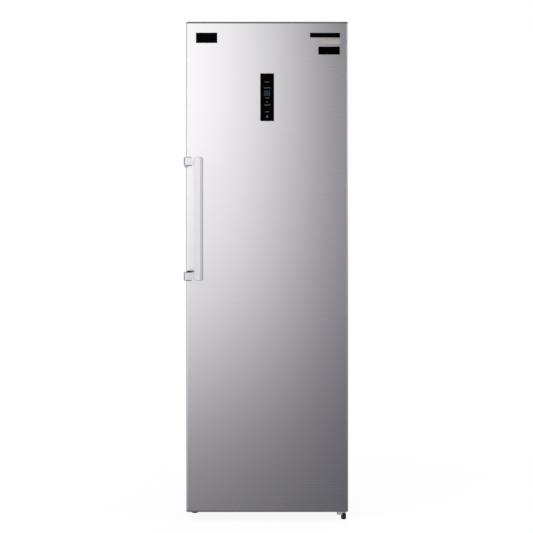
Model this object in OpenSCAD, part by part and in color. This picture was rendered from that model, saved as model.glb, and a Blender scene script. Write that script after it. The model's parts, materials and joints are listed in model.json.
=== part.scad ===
// Upright single-door fridge freezer, free standing.
// Front faces -Y, the hinge side is +X, the floor is z = 0.

/* [Cabinet] */
// Width of the cabinet and of the door
body_w = 595; // [560:1:640]
// Height of the cabinet from its underside to its top
cabinet_h = 1800; // [1760:1:1900]
// Depth of the cabinet without door and condenser
cabinet_d = 540; // [520:1:600]
// Height of the cabinet's underside above the floor
foot_h = 33; // [30:1:40]
// Thickness of the steel sheet of the outer shell
shell_t = 1; // [0.8:0.1:1.4]
// Width of the folded edge round the cabinet's mouth
flange_w = 27; // [24:1:30]
// Thickness of the moulded inner liner
liner_t = 2; // [1.5:0.1:3]
// Thickness of the insulated side walls
wall_t = 45; // [40:1:52]
// Thickness of the insulated rear wall
back_wall_t = 50; // [45:1:60]
// Thickness of the insulated top wall and floor
top_wall_t = 50; // [45:1:60]
// Radius of the cabinet's upright front edges
shell_r = 4; // [3:0.5:6]
// Radius of the liner's rounded corners
corner_r = 16; // [12:1:18]
// Height of the beads pressed into the rear sheet
bead_h = 3; // [2:0.5:4]

/* [Door] */
// Thickness of the door
door_t = 60; // [54:1:66]
// Gap under the door
door_gap_z = 2; // [1.5:0.5:4]
// Step from the cabinet's top down to the door's top
door_top_step = 1; // [0.5:0.5:8]
// Thickness of the door's steel skin
skin_t = 0.8; // [0.6:0.1:1.2]
// Radius of the door's upright edges
door_edge_r = 7; // [5:1:10]
// Height of the plastic caps at the door's ends
cap_h = 6; // [5:1:10]
// Space between the door's back and the cabinet, filled by the gasket
gasket_gap = 8; // [7:0.5:12]
// Width of the gasket
gasket_w = 14; // [12:1:15]
// Distance of the gasket from the door's edges
gasket_inset = 12.5; // [11.5:0.5:14]
// Gap between the closed door's gasket and the cabinet
gasket_clear = 0.5; // [0.3:0.1:0.8]
// Height of the ridges moulded on the door's inside
ridge_h = 30; // [24:1:34]
// Width of each moulded ridge
ridge_w = 30; // [26:1:34]
// Radius of the ridges' long edges
ridge_r = 8; // [5:1:10]
// Outer radius of the turns between the ridges
ridge_turn = 42; // [38:1:50]

/* [Handle] */
// Length of the handle from end to end
handle_len = 448; // [380:1:520]
// Height of the handle's lower end above the floor
handle_z = 883; // [820:1:940]
// Width of the bar, seen from the front
bar_w = 32; // [26:1:36]
// Thickness of the bar
bar_t = 16; // [14:1:18]
// Radius of the bar's corners, seen from the front
bar_end_r = 8; // [4:1:12]
// Radius of the bar's front edge away from the brackets
bar_edge_r = 11; // [4:0.5:11.5]
// Space for the fingers between the bar and the door
bar_gap = 42; // [36:1:50]
// Distance from the door's left edge to the bar
bar_inset = 34; // [30:1:44]
// Height of each handle bracket
bracket_h = 33; // [28:1:40]
// How far the brackets stand out past the door's side
bracket_out = 4.5; // [3:0.5:6]
// Thickness of the bracket's arm between the door and the bar
bracket_arm = 14; // [13:1:16]
// Radius of the long front edges of each bracket
bracket_edge_r = 4; // [1:0.5:5]
// Radius of the bracket's outer bend
bracket_bend = 12; // [8:1:12]
// How far the bracket reaches back along the door's side
bracket_back = 35; // [32:1:42]
// Height of the bracket's neck beside the bar
neck_h = 24; // [20:1:26]
// Length of the bracket's neck
neck_len = 9; // [6:1:12]

/* [Display] */
// Width of the display panel
display_w = 50.6; // [44:0.2:60]
// Height of the display panel
display_h = 175; // [150:1:200]
// Height of the display's lower edge above the floor
display_z = 1468; // [1400:1:1500]
// Depth of the display's housing in the door
display_t = 9; // [8:1:14]
// How far the display stands proud of the door
display_proud = 1; // [0.6:0.1:2]

/* [Hinge] */
// Distance of the hinge axis from the door's right side
hinge_inset = 16; // [15:1:20]
// Distance of the hinge axis behind the door's front
hinge_back = 22; // [20:1:28]
// Radius of the hinge pins
pin_r = 4; // [3.5:0.1:4.5]
// Clearance round each hinge pin
pin_clear = 0.05; // [0.03:0.01:0.1]
// Length of the hinge pins in the door
pin_len = 16; // [12:1:20]
// Thickness of the hinge plates
plate_t = 3; // [2.5:0.5:5]
// Height of the cover over the upper hinge
cover_h = 14; // [13:1:18]
// Radius of the upper hinge arm's end
arm_r = 9; // [8:0.5:12]
// How far the upper hinge's plate reaches inwards from its axis
hinge_reach = 34; // [32:1:40]
// Depth of the upper hinge's plate on the cabinet
hinge_plate_d = 70; // [66:1:80]

/* [Shelves and drawers] */
// Distance from the highest shelf up to the cavity's top
shelf_top_gap = 310; // [280:1:340]
// Thickness of the glass
glass_t = 4; // [4:0.5:5]
// Space between a shelf and the side walls
shelf_side_gap = 3; // [2:0.5:5]
// Setback of the shelves behind the cabinet's mouth
shelf_setback = 108; // [104:1:120]
// Height of the shelves' plastic rims
rim_h = 16; // [14:1:20]
// Height of the drawers
drawer_h = 180; // [150:1:190]
// Space between two drawers' fronts
drawer_gap = 30; // [26:1:36]
// Wall thickness of the drawers
drawer_wall = 2.5; // [2:0.1:3.5]
// Space between the drawers' fronts and each side wall
drawer_side_gap = 19; // [18:1:22]
// Width of the lips that the drawers slide on
lip_w = 8; // [6:0.5:10]
// Setback of the drawers' fronts behind the cabinet's mouth
drawer_setback = 38; // [36:1:50]
// Running clearance of sliding pieces
slide_clear = 0.4; // [0.3:0.1:1]
// Height of the door bins
bin_h = 96; // [80:1:120]
// Depth of the door bins
bin_d = 92; // [80:1:96]
// Wall thickness of the door bins
bin_wall = 2.5; // [2:0.1:3.5]
// Radius of the bins' front corners
bin_r = 16; // [10:1:18]
// Distance from the highest drawer's top up to the lowest bin
bin_low_gap = 48; // [30:1:80]
// Distance from the highest bin's floor up to the cavity's top
bin_top_gap = 310; // [280:1:340]

/* [Cooling] */
// Depth of the machine space at the rear
machine_d = 190; // [180:1:210]
// Height of the machine space
machine_h = 190; // [180:1:210]
// Radius of the compressor's shell
comp_r = 68; // [60:1:70]
// Radius of the condenser tube
tube_r = 2.4; // [2:0.1:3]
// Number of straight runs in the condenser tube
tube_runs = 24; // [16:2:26]
// Distance between two runs
tube_pitch = 56; // [50:1:60]
// Radius of the condenser's wires
wire_r = 0.8; // [0.6:0.1:1]
// Number of condenser wires on each side of the tube
wire_count = 34; // [20:2:36]
// Distance between two wires
wire_pitch = 14; // [12:0.5:16]
// Distance of the condenser's tube behind the cabinet
condenser_off = 18; // [15:1:25]
// Distance of the air duct's front from the rear liner
duct_d = 46; // [44:1:56]
// Outer radius of the evaporator fan
fan_r = 50; // [46:1:54]
// Radius of the filter drier
drier_r = 10; // [8:1:12]
// Length of the filter drier
drier_len = 90; // [70:1:110]

/* [Feet and rollers] */
// Radius of the foot under the lower hinge
foot_right_r = 9.5; // [8:0.5:12]
// Radius of the left foot's pad
foot_left_r = 14; // [12:0.5:18]
// Radius of the feet's threaded studs
stud_r = 4; // [3:0.5:5]
// Radius of the rear rollers
roller_r = 16; // [14:1:18]
// Width of the rear rollers
roller_w = 14; // [12:1:18]
// Radius of the rollers' axles
axle_r = 3; // [2.5:0.5:4]

/* [Hidden] */
$fn = 48;

// Gap left between pieces that face each other on different bodies
face_gap = 0.3;

// Stations along Y, from the handle's face at the front to the condenser's wires at the back
total_d = bar_t + bar_gap + door_t + gasket_gap + cabinet_d + condenser_off + tube_r + 2 * wire_r;
bar_y0 = -total_d / 2;
bar_y1 = bar_y0 + bar_t;
door_y0 = bar_y1 + bar_gap;
door_y1 = door_y0 + door_t;
cab_y0 = door_y1 + gasket_gap;
cab_y1 = cab_y0 + cabinet_d;
mach_y = cab_y1 - machine_d;
cav_y1 = cab_y1 - back_wall_t;
duct_y0 = cav_y1 - duct_d;
coil_y = cab_y1 + condenser_off;

// Stations along X and Z
half_w = body_w / 2;
cav_x = half_w - wall_t;
base_z = foot_h;
base_t = 2;
base_top = base_z + base_t;
cab_z1 = base_z + cabinet_h;
cav_z0 = base_z + top_wall_t;
cav_z1 = cab_z1 - top_wall_t;
mach_z = base_z + machine_h;
step_y = mach_y - wall_t;
step_z = mach_z + wall_t;
door_z0 = base_z + door_gap_z;
door_z1 = cab_z1 - door_top_step;
skin_z0 = door_z0 + cap_h;
skin_z1 = door_z1 - cap_h;

// Door hinge and its bosses
hinge_x = half_w - hinge_inset;
hinge_y = door_y0 + hinge_back;
boss_r = pin_r + 4;
boss_h = pin_len + 2;

// Heights of the drawers, shelves and bins above the cavity's floor
drawer_rows = 3;
shelf_rows = 3;
bin_rows = 4;
drawer_foot = 5;
cav_h = cav_z1 - cav_z0;
low_shelf = [for (i = [0:drawer_rows - 1]) 2 * drawer_foot + drawer_h + i * (drawer_h + drawer_gap)];
shelf_pitch = (cav_h - shelf_top_gap - low_shelf[drawer_rows - 1]) / shelf_rows;
high_shelf = [for (i = [1:shelf_rows]) low_shelf[drawer_rows - 1] + i * shelf_pitch];
shelf_z = concat(low_shelf, high_shelf);
drawer_level = [for (i = [0:drawer_rows - 1]) i == 0 ? drawer_foot : low_shelf[i - 1] + glass_t + 8];
bin_low = drawer_level[drawer_rows - 1] + drawer_h + bin_low_gap;
bin_pitch = (cav_h - bin_top_gap - bin_low) / (bin_rows - 1);
bin_z = [for (i = [0:bin_rows - 1]) bin_low + i * bin_pitch];

// Inside of the door
ridge_x = cav_x - 17.5;
ridge_z0 = cav_z0 + bin_z[0] - ridge_w - 6;
ridge_z1 = cav_z1 - 40;
core_y1 = door_y1 - liner_t;
lug_w = 6;
lug_h = 24;
lug_d = 18;
bin_x = ridge_x - ridge_w - lug_w - face_gap;

// Drawers and the rails and shelves beside them
drawer_x = cav_x - drawer_side_gap;
tub_x = drawer_x - lip_w;
drawer_y0 = cab_y0 + drawer_setback;
front_t = 14;
rail_h = 8;
rail_x = tub_x + 2;
drawer_z = [for (z = drawer_level) cav_z0 + z];
drawer_y1 = [step_y - 8, duct_y0 - 8, duct_y0 - 8];
lip_t = 4;
tub_r = 12;
tub_drop = 30;
grip_x = 130;
bin_rail_h = 10;
bin_rail_t = 2;
ear_drop = 14;
ear_h = 8;
ear_d = lug_d + 3;
shelf_x = cav_x - shelf_side_gap;
ledge_h = 6;
ledge_w = shelf_side_gap + 9;
glass_y1 = duct_y0 - 4;

// Screws
screw_r = 2.5;
screw_head_r = 5;
screw_head_h = 3;
screw_len = 14;

// A box given by its two ends along each axis
module span(x0, x1, y0, y1, z0, z1) {
    translate([x0, y0, z0]) cube([x1 - x0, y1 - y0, z1 - z0]);
}

// Corner points of a rectangle, two where the corner is rounded
function corner_points(x, y, sx, sy, r, flip) = r == 0 ? [[x, y]]
    : flip ? [[x + sx * r, y], [x, y + sy * r]]
    : [[x, y + sy * r], [x + sx * r, y]];

// A rectangle with its own radius at each corner, counter-clockwise from the low corner
module rounded(x0, x1, y0, y1, r) {
    cx = [x0, x1, x1, x0];
    cy = [y0, y0, y1, y1];
    sx = [1, -1, -1, 1];
    sy = [1, 1, -1, -1];
    polygon([for (i = [0:3]) each corner_points(cx[i], cy[i], sx[i], sy[i], r[i], i % 2 == 1)]);
    for (i = [0:3]) if (r[i] > 0) translate([cx[i] + sx[i] * r[i], cy[i] + sy[i] * r[i]]) circle(r[i]);
}

// A profile drawn as seen from above, raised between two heights
module plan_prism(z0, z1) {
    translate([0, 0, z0]) linear_extrude(z1 - z0) children();
}

// A profile drawn as seen from the front, X across and Z up
module front_prism(y0, y1) {
    translate([0, y1, 0]) rotate([90, 0, 0]) linear_extrude(y1 - y0) children();
}

// A profile drawn as seen from the right, Y across and Z up
module side_prism(x0, x1) {
    translate([x0, 0, 0]) rotate([90, 0, 90]) linear_extrude(x1 - x0) children();
}

// Placement with a given origin, X axis and Z axis
function axes_at(origin, x, z) = let (y = cross(z, x)) [
    [x[0], y[0], z[0], origin[0]],
    [x[1], y[1], z[1], origin[1]],
    [x[2], y[2], z[2], origin[2]],
    [0, 0, 0, 1]
];

// A tube along a route whose legs meet at right angles, with a rounded bend at each turn
module tube_path(points, r, bend) {
    last = len(points) - 2;
    for (i = [0:last]) {
        leg = points[i + 1] - points[i];
        way = leg / norm(leg);
        start = i > 0 ? bend : 0;
        stop = i < last ? bend : 0;
        multmatrix(axes_at(points[i] + start * way, [way[1], way[2], way[0]], way))
            cylinder(r = r, h = norm(leg) - start - stop, $fn = 24);
        if (i < last) {
            turn = points[i + 2] - points[i + 1];
            next = turn / norm(turn);
            multmatrix(axes_at(points[i + 1] - bend * way + bend * next, -next, cross(-next, way)))
                rotate_extrude(angle = 90) translate([bend, 0]) circle(r, $fn = 24);
        }
    }
}

// A copy of the children on each side
module both_sides() {
    children();
    mirror([1, 0, 0]) children();
}

// Outline of the door in plan, with its two front edges rounded
module door_outline(half, y0, y1, r) {
    translate([-half, y0 + r]) square([2 * half, y1 - y0 - r]);
    translate([-half + r, y0]) square([2 * half - 2 * r, r + 1]);
    for (side = [-1, 1]) translate([side * (half - r), y0 + r]) circle(r);
}

// The door's outline raised between two heights
module door_slab(half, y0, y1, r, z0, z1) {
    translate([0, 0, z0]) linear_extrude(z1 - z0) door_outline(half, y0, y1, r);
}

// A bar along X with a round section
module rod_x(x0, x1, y, z, r) {
    translate([x0, y, z]) rotate([0, 90, 0]) cylinder(r = r, h = x1 - x0);
}

// A bar along Y with a round section
module rod_y(x, y0, y1, z, r) {
    translate([x, y0, z]) rotate([-90, 0, 0]) cylinder(r = r, h = y1 - y0);
}

// A bar along Z with a round section
module rod_z(x, y, z0, z1, r) {
    translate([x, y, z0]) cylinder(r = r, h = z1 - z0);
}

// One side sheet of the outer shell, rounded at the front, with its edges folded in at front and rear
module side_panel() {
    inner = half_w - shell_t;
    color("gainsboro") difference() {
        door_slab(half_w, cab_y0, cab_y1, shell_r, base_z, cab_z1);
        door_slab(inner, cab_y0 + shell_t, cab_y1 - shell_t, shell_r - shell_t, base_z - 1, cab_z1 + 1);
        span(-half_w - 1, half_w - flange_w, cab_y0 - 1, cab_y1 + 1, base_z - 1, cab_z1 + 1);
        span(half_w - flange_w - 1, inner, cab_y1 - shell_t - 1, cab_y1 + 1, base_z - 1, mach_z);
    }
}

module side_panel_left() {
    mirror([1, 0, 0]) side_panel();
}

module side_panel_right() {
    side_panel();
}

// Places of the upper hinge's screws
hinge_screw_edge = 14;
hinge_screw_pitch = 22;
hinge_screw_side = 22;
hinge_screw_y = [for (k = [0:2]) cab_y0 + hinge_screw_edge + k * hinge_screw_pitch];
hinge_screw_x = hinge_x - hinge_screw_side;

// Edge of a sheet folded over the cabinet's mouth, from z0 to z1, with its root in the sheet
module folded_lip(z0, z1, root_z0, root_z1) {
    x = half_w - flange_w;
    span(-x, x, cab_y0, cab_y0 + shell_t, z0, z1);
    span(-x, x, cab_y0, cab_y0 + 2 * shell_t, root_z0, root_z1);
}

module top_panel() {
    inner = half_w - shell_t;
    color("gainsboro") difference() {
        union() {
            door_slab(inner, cab_y0 + shell_t, cab_y1 - shell_t, shell_r - shell_t, cab_z1 - shell_t, cab_z1);
            folded_lip(cab_z1 - flange_w, cab_z1, cab_z1 - shell_t, cab_z1);
        }
        for (y = hinge_screw_y) rod_z(hinge_screw_x, y, cab_z1 - 2 * shell_t, cab_z1 + 1, screw_r);
    }
}

// Rear sheet with pressed beads, folded forwards over the machine space and down in front of it
module back_panel() {
    inner = half_w - shell_t;
    color("gainsboro") difference() {
        union() {
            span(-half_w + flange_w, half_w - flange_w, cab_y1 - shell_t, cab_y1, mach_z, cab_z1);
            span(-inner, inner, mach_y, cab_y1, mach_z - shell_t, mach_z);
            span(-inner, inner, mach_y, mach_y + shell_t, base_top, mach_z - shell_t);
            for (x = bead_x) bead(x);
        }
        rod_z(-suction_x, evap_y, mach_z - 2 * shell_t, mach_z + 1, evap_r + tube_clear);
    }
}

// A stiffening bead that stands out of the rear sheet as the segment of a round bar
bead_w = 11;
bead_pitch = 129;
bead_end = 50;
bead_x = [for (k = [-1.5:1:1.5]) k * bead_pitch];
module bead(x) {
    r = (bead_w * bead_w / 4 + bead_h * bead_h) / (2 * bead_h);
    intersection() {
        rod_z(x, cab_y1 + bead_h - r, mach_z + bead_end, cab_z1 - bead_end, r);
        span(x - bead_w, x + bead_w, cab_y1 - shell_t, cab_y1 + bead_h + 1, mach_z, cab_z1);
    }
}

// Places of the feet, rollers and compressor mounts
foot_left_pad_h = 12;
foot_right_pad_h = 19;
foot_right_side = -1.5;
foot_right_back = 17;
foot_left_side = 23;
foot_left_back = 68;
foot_right_pos = [hinge_x - foot_right_side, hinge_y + foot_right_back];
foot_left_pos = [-half_w + foot_left_side, cab_y0 + foot_left_back];
roller_x = half_w - 45;
roller_y = cab_y1 - 42;
fork_t = 2;
fork_gap = 0.5;
fork_d = 26;
comp_x = -30;
comp_y = mach_y + machine_d / 2 + 4;
mount_h = 13;
mount_dx = 84;
mount_dy = 52;
bolt_r = 3;
gland_r = 8;
gland_inset = 92.5;
gland_x = half_w - gland_inset;
stud_top = 4;
leg_end = 15;
grommet_r = 8;
gland_z = base_top + 14;

module roller_fork() {
    outer = roller_w / 2 + fork_gap + fork_t;
    difference() {
        for (side = [-1, 1]) {
            x = side > 0 ? outer - fork_t : -outer;
            span(roller_x + x, roller_x + x + fork_t, roller_y - fork_d / 2, roller_y + fork_d / 2,
                roller_r - 8, base_z);
        }
        rod_x(roller_x - outer - 1, roller_x + outer + 1, roller_y, roller_r, axle_r);
    }
}

module base_plate() {
    inner = half_w - shell_t;
    color("silver") {
        difference() {
            union() {
                door_slab(inner, cab_y0 + shell_t, cab_y1, shell_r - shell_t, base_z, base_top);
                folded_lip(base_z, base_z + flange_w, base_z, base_top);
                span(gland_x - 26, gland_x + 26, cab_y1 - base_t, cab_y1, base_top, gland_z + 14);
                rod_z(foot_left_pos[0], foot_left_pos[1], base_z - 6, base_z, stud_r + 5);
            }
            rod_z(foot_left_pos[0], foot_left_pos[1], base_z - 7, base_top + 1, stud_r + pin_clear);
            rod_y(gland_x, cab_y1 - base_t - 1, cab_y1 + 1, gland_z, gland_r);
            for (p = bottom_screws) rod_z(p[0], p[1], base_z - 1, base_top + 1, screw_r);
            for (p = mount_places) rod_z(p[0], p[1], base_z - 1, base_top + 1, bolt_r);
        }
        both_sides() roller_fork();
    }
}

// Screws of the lower hinge: two along its inner side and one between them, nearer the hinge's pin
low_screw_edge = 16;
low_screw_pitch = 18;
low_screw_side = 30;
low_screw_step = 24;
bottom_screws = [for (k = [0:2]) [
    hinge_x - low_screw_side + (k == 1 ? low_screw_step : 0),
    cab_y0 + low_screw_edge + k * low_screw_pitch
]];
mount_places = [for (sx = [-1, 1], sy = [-1, 1]) [comp_x + sx * mount_dx, comp_y + sy * mount_dy]];

// Space inside the liner with its rounded corners, larger by a margin on every side but the front
module cavity(margin) {
    x = cav_x + margin;
    z0 = cav_z0 - margin;
    z1 = cav_z1 + margin;
    r = corner_r + margin;
    intersection() {
        front_prism(cab_y0 - 1, cav_y1 + margin) rounded(-x, x, z0, z1, [r, r, r, r]);
        plan_prism(z0, z1) rounded(-x, x, cab_y0 - 1, cav_y1 + margin, [0, 0, r, r]);
        side_prism(-x, x) {
            rounded(cab_y0 - 1, step_y + margin, z0, z1, [0, r, 0, 0]);
            rounded(cab_y0 - 1, cav_y1 + margin, step_z - margin, z1, [0, 0, r, 0]);
        }
    }
}

module insulation() {
    inner = half_w - shell_t;
    color("khaki") difference() {
        door_slab(inner, cab_y0 + shell_t, cab_y1 - shell_t, shell_r - shell_t, base_top, cab_z1 - shell_t);
        cavity(liner_t);
        span(-half_w, half_w, mach_y, cab_y1 + 1, base_z, mach_z);
        for (y = hinge_screw_y) {
            rod_z(hinge_screw_x, y, cab_z1 - screw_len - plate_t, cab_z1, screw_r);
        }
        for (p = bottom_screws) rod_z(p[0], p[1], base_z, base_z + screw_len, screw_r);
        rod_z(foot_left_pos[0], foot_left_pos[1], base_z, base_top + stud_top + 4, stud_r + 2);
        rod_z(-suction_x, evap_y, mach_z - 1, step_z, evap_r + tube_clear);
    }
}

// Ledges on the liner's side walls that carry the shelves, and rails for the drawers
module liner_ledges() {
    for (i = [0:len(shelf_z) - 1]) {
        z = cav_z0 + shelf_z[i];
        r = ledge_h / 2 - 0.5;
        side_prism(cav_x - ledge_w, cav_x + 1)
            rounded(shelf_y0(i) + 6, glass_y1, z - ledge_h, z, [r, 0, 0, r]);
    }
    for (i = [0:len(drawer_z) - 1]) {
        z = rail_top(i);
        r = rail_h / 2 - 0.5;
        side_prism(rail_x, cav_x + 1)
            rounded(drawer_y0 + front_t + 4, drawer_y1[i], z - rail_h, z, [r, 0, 0, r]);
    }
}

function shelf_y0(i) = cab_y0 + (i < len(drawer_z) ? drawer_setback + front_t + 2 : shelf_setback);
function rail_top(i) = drawer_z[i] + drawer_h - tub_drop - lip_t - slide_clear;

module inner_liner() {
    mouth_x = half_w - flange_w;
    color("white") {
        difference() {
            union() {
                intersection() {
                    cavity(liner_t);
                    span(-half_w, half_w, cab_y0, cab_y1, base_z, cab_z1);
                }
                span(-mouth_x, mouth_x, cab_y0, cab_y0 + shell_t, base_z + flange_w, cab_z1 - flange_w);
            }
            cavity(0);
            rod_z(-suction_x, evap_y, step_z - liner_t - 1, step_z + 1, evap_r + tube_clear);
        }
        both_sides() liner_ledges();
    }
}

// Upper hinge: a plate screwed to the cabinet's top, whose arm carries the pin over the door
module hinge_top() {
    color("silver") {
        difference() {
            union() {
                span(hinge_x - hinge_reach, hinge_x + arm_r, cab_y0 + 4, cab_y0 + hinge_plate_d,
                    cab_z1, cab_z1 + plate_t);
                span(hinge_x - arm_r, hinge_x + arm_r, hinge_y, cab_y0 + 5, cab_z1, cab_z1 + plate_t);
                rod_z(hinge_x, hinge_y, cab_z1, cab_z1 + plate_t, arm_r);
            }
            for (y = hinge_screw_y) rod_z(hinge_screw_x, y, cab_z1 - 1, cab_z1 + plate_t + 1, screw_r);
        }
        rod_z(hinge_x, hinge_y, door_z1 - pin_len, cab_z1, pin_r);
    }
}

// Block with rounded upright corners and rounded long edges on top
module cover_block(x0, x1, inset) {
    r = cover_r - inset;
    y0 = cab_y0 + 1 + inset;
    y1 = cab_y0 + hinge_plate_d + cover_over - inset;
    z0 = cab_z1 - (inset > 0 ? 1 : 0);
    z1 = cab_z1 + cover_h - inset;
    intersection() {
        plan_prism(z0, z1) rounded(x0 + inset, x1 - inset, y0, y1, [r, r, r, r]);
        front_prism(y0 - 1, y1 + 1) rounded(x0 + inset, x1 - inset, z0 - 1, z1, [0, 0, r, r]);
    }
}

// Hollow covers on the cabinet's top: one over the hinge and a blank one on the other side
cover_t = 2;
cover_r = 5;
cover_over = 12;
module hinge_covers() {
    x0 = hinge_x - hinge_reach - cover_t - 3;
    x1 = half_w - 2;
    color("dimgray") {
        difference() {
            cover_block(x0, x1, 0);
            cover_block(x0, x1, cover_t);
            span(hinge_x - arm_r - face_gap, hinge_x + arm_r + face_gap, cab_y0, cab_y0 + 4 + cover_t,
                cab_z1 - 1, cab_z1 + plate_t + face_gap);
        }
        difference() {
            cover_block(-x1, -x0, 0);
            cover_block(-x1, -x0, cover_t);
        }
    }
}

// Lower hinge: a plate under the cabinet that reaches forward under the door and carries the foot
low_plate_reach = 40;
low_plate_d = 64;
low_arm_side = 25;
low_arm_r = 12;
low_flange_side = 16;
low_flange_h = 14;
low_face_end = 4;
module hinge_bottom() {
    x0 = hinge_x - low_arm_side;
    x1 = hinge_x + low_arm_r;
    y1 = cab_y0 + low_plate_d;
    flange_x = hinge_x - low_flange_side;
    face_r = 4;
    color("silver") {
        difference() {
            union() {
                span(hinge_x - low_plate_reach, x1, cab_y0 + 2, y1, base_z - plate_t, base_z);
                span(x0, x1, hinge_y, cab_y0 + 3, base_z - plate_t, base_z);
                rod_z(hinge_x, hinge_y, base_z - plate_t, base_z, low_arm_r);
                span(flange_x, flange_x + plate_t, hinge_y + 1, y1, base_z - low_flange_h, base_z - 1);
                front_prism(hinge_y, hinge_y + plate_t)
                    rounded(x0, hinge_x - low_face_end, base_z - low_flange_h, base_z, [face_r, face_r, 0, 0]);
            }
            for (p = bottom_screws) rod_z(p[0], p[1], base_z - plate_t - 1, base_z + 1, screw_r);
            rod_z(foot_right_pos[0], foot_right_pos[1], base_z - plate_t - 1, base_z + 1, stud_r + pin_clear);
        }
        rod_z(hinge_x, hinge_y, base_z, door_z0 + pin_len, pin_r);
    }
}

// A screw with its head outwards, standing on z = 0
module screw(reach) {
    cylinder(r = screw_head_r, h = screw_head_h);
    translate([0, 0, -reach]) cylinder(r = screw_r, h = reach);
}

module hinge_screws() {
    color("silver") {
        for (y = hinge_screw_y) translate([hinge_screw_x, y, cab_z1 + plate_t]) screw(screw_len);
        for (p = bottom_screws) {
            translate([p[0], p[1], base_z - plate_t]) mirror([0, 0, 1]) screw(screw_len);
        }
    }
}

module roller_axles() {
    outer = roller_w / 2 + fork_gap + fork_t;
    color("silver") both_sides() rod_x(roller_x - outer, roller_x + outer, roller_y, roller_r, axle_r);
}

// A rear roller with rounded shoulders, turning on its axle
module roller() {
    shoulder = 2;
    translate([roller_x, roller_y, roller_r]) rotate([0, 90, 0]) difference() {
        union() {
            translate([0, 0, -roller_w / 2 + shoulder]) cylinder(r = roller_r, h = roller_w - 2 * shoulder);
            translate([0, 0, -roller_w / 2]) cylinder(r1 = roller_r - shoulder, r2 = roller_r, h = shoulder);
            translate([0, 0, roller_w / 2 - shoulder])
                cylinder(r1 = roller_r, r2 = roller_r - shoulder, h = shoulder);
        }
        cylinder(r = axle_r + pin_clear, h = roller_w + 2, center = true);
    }
}

module roller_left() {
    color("dimgray") mirror([1, 0, 0]) roller();
}

module roller_right() {
    color("dimgray") roller();
}

// An adjustable foot: a bevelled pad, a six-sided nut and a stud
module foot(pos, pad_r, pad_h, top) {
    bevel = 2;
    nut_h = 4;
    translate([pos[0], pos[1], 0]) {
        cylinder(r1 = pad_r - bevel, r2 = pad_r, h = bevel);
        translate([0, 0, bevel]) cylinder(r = pad_r, h = pad_h - bevel);
        translate([0, 0, pad_h]) cylinder(r = stud_r + 3.5, h = nut_h, $fn = 6);
        cylinder(r = stud_r, h = top);
    }
}

module foot_left() {
    color("#222222") foot(foot_left_pos, foot_left_r, foot_left_pad_h, base_top + stud_top);
}

module foot_right() {
    color("#222222") foot(foot_right_pos, foot_right_r, foot_right_pad_h, base_z);
}

// Compressor: a welded steel pot with a seam, a stepped lid, stubs for the tubes and four legs
comp_z = base_top + mount_h;
comp_h = 146;
seam_z = 88;
leg_t = 3;
top_flat = 34;
dome_h = 26;

function arc_points(r0, r1, z0, h, steps) =
    [for (i = [0:steps]) let (a = 90 * i / steps) [r1 + (r0 - r1) * cos(a), z0 + h * sin(a)]];

module compressor() {
    pot_r = comp_r - 2;
    color("#1c1c1e") {
        translate([comp_x, comp_y, comp_z]) {
            rotate_extrude() polygon(concat(
                [[0, 4], [pot_r - 22, 4], [pot_r - 4, 14], [pot_r, 26], [pot_r, seam_z - 3]],
                [[comp_r + 3, seam_z - 3], [comp_r + 3, seam_z + 1], [pot_r, seam_z + 1]],
                arc_points(pot_r, top_flat, comp_h - dome_h, dome_h, 8),
                [[0, comp_h]]
            ));
            difference() {
                union() {
                    for (sy = [-1, 1]) {
                        plan_prism(0, leg_t) rounded(-mount_dx - leg_end, mount_dx + leg_end,
                            sy * mount_dy - leg_end, sy * mount_dy + leg_end, [6, 6, 6, 6]);
                    }
                    translate([-30, -mount_dy, 0]) cube([60, 2 * mount_dy, 6]);
                }
                for (sx = [-1, 1], sy = [-1, 1]) {
                    translate([sx * mount_dx, sy * mount_dy, -1]) cylinder(r = grommet_r, h = leg_t + 2);
                }
            }
        }
        // Stubs that the discharge and suction tubes are brazed into, and the closed filling stub
        rod_x(stub_x, comp_x - pot_r / 2, comp_y, discharge_z, tube_r + 2);
        rod_x(stub_x, comp_x - pot_r / 2, evap_y, suction_z, evap_r + 2);
        rod_z(comp_x - 30, comp_y + 20, comp_z + comp_h - 20, comp_z + comp_h - 2, 4);
    }
}

// Rubber mounts under the compressor's legs, each held by a bolt up from the base
module compressor_mounts() {
    cap_z = comp_z + leg_t;
    color("#333333") for (p = mount_places) translate([p[0], p[1], 0]) {
        plan_ring(base_top, comp_z, 12);
        plan_ring(comp_z, cap_z, grommet_r - pin_clear);
        plan_ring(cap_z, cap_z + 5, 11);
        plan_ring(base_z - 2, base_z, 6);
        plan_ring(base_z, cap_z + 5, bolt_r);
        plan_ring(cap_z + 5, cap_z + 8, 7);
    }
}

// A round disc between two heights
module plan_ring(z0, z1, r) {
    translate([0, 0, z0]) cylinder(r = r, h = z1 - z0);
}

// Starter box on the compressor's side, shaped to the pot, with a shallow field in its outer face
relay_in = 22;
relay_out = 26;
relay_half_w = 30;
relay_foot = 26;
relay_edge = 10;
field_depth = 6;
module relay_box() {
    x0 = comp_x + comp_r - relay_in;
    x1 = comp_x + comp_r + relay_out;
    z0 = comp_z + relay_foot;
    z1 = comp_z + seam_z - 12;
    half = relay_half_w - relay_edge;
    color("#222222") difference() {
        span(x0, x1, comp_y - relay_half_w, comp_y + relay_half_w, z0, z1);
        rod_z(comp_x, comp_y, comp_z, comp_z + comp_h, comp_r - 2 + pin_clear);
        span(x1 - field_depth, x1 + 1, comp_y - half, comp_y + half, z0 + relay_edge, z1 - relay_edge);
    }
}

// Tray over the compressor that catches the defrost water
tray_h = 18;
tray_t = 2;
tray_half_w = 90;
tray_half_d = 62;
tray_r = 8;
module drip_tray() {
    z0 = comp_z + comp_h;
    color("#333333") difference() {
        plan_prism(z0, z0 + tray_h) tray_outline(0);
        plan_prism(z0 + tray_t, z0 + tray_h + 1) tray_outline(tray_t);
    }
}

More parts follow.
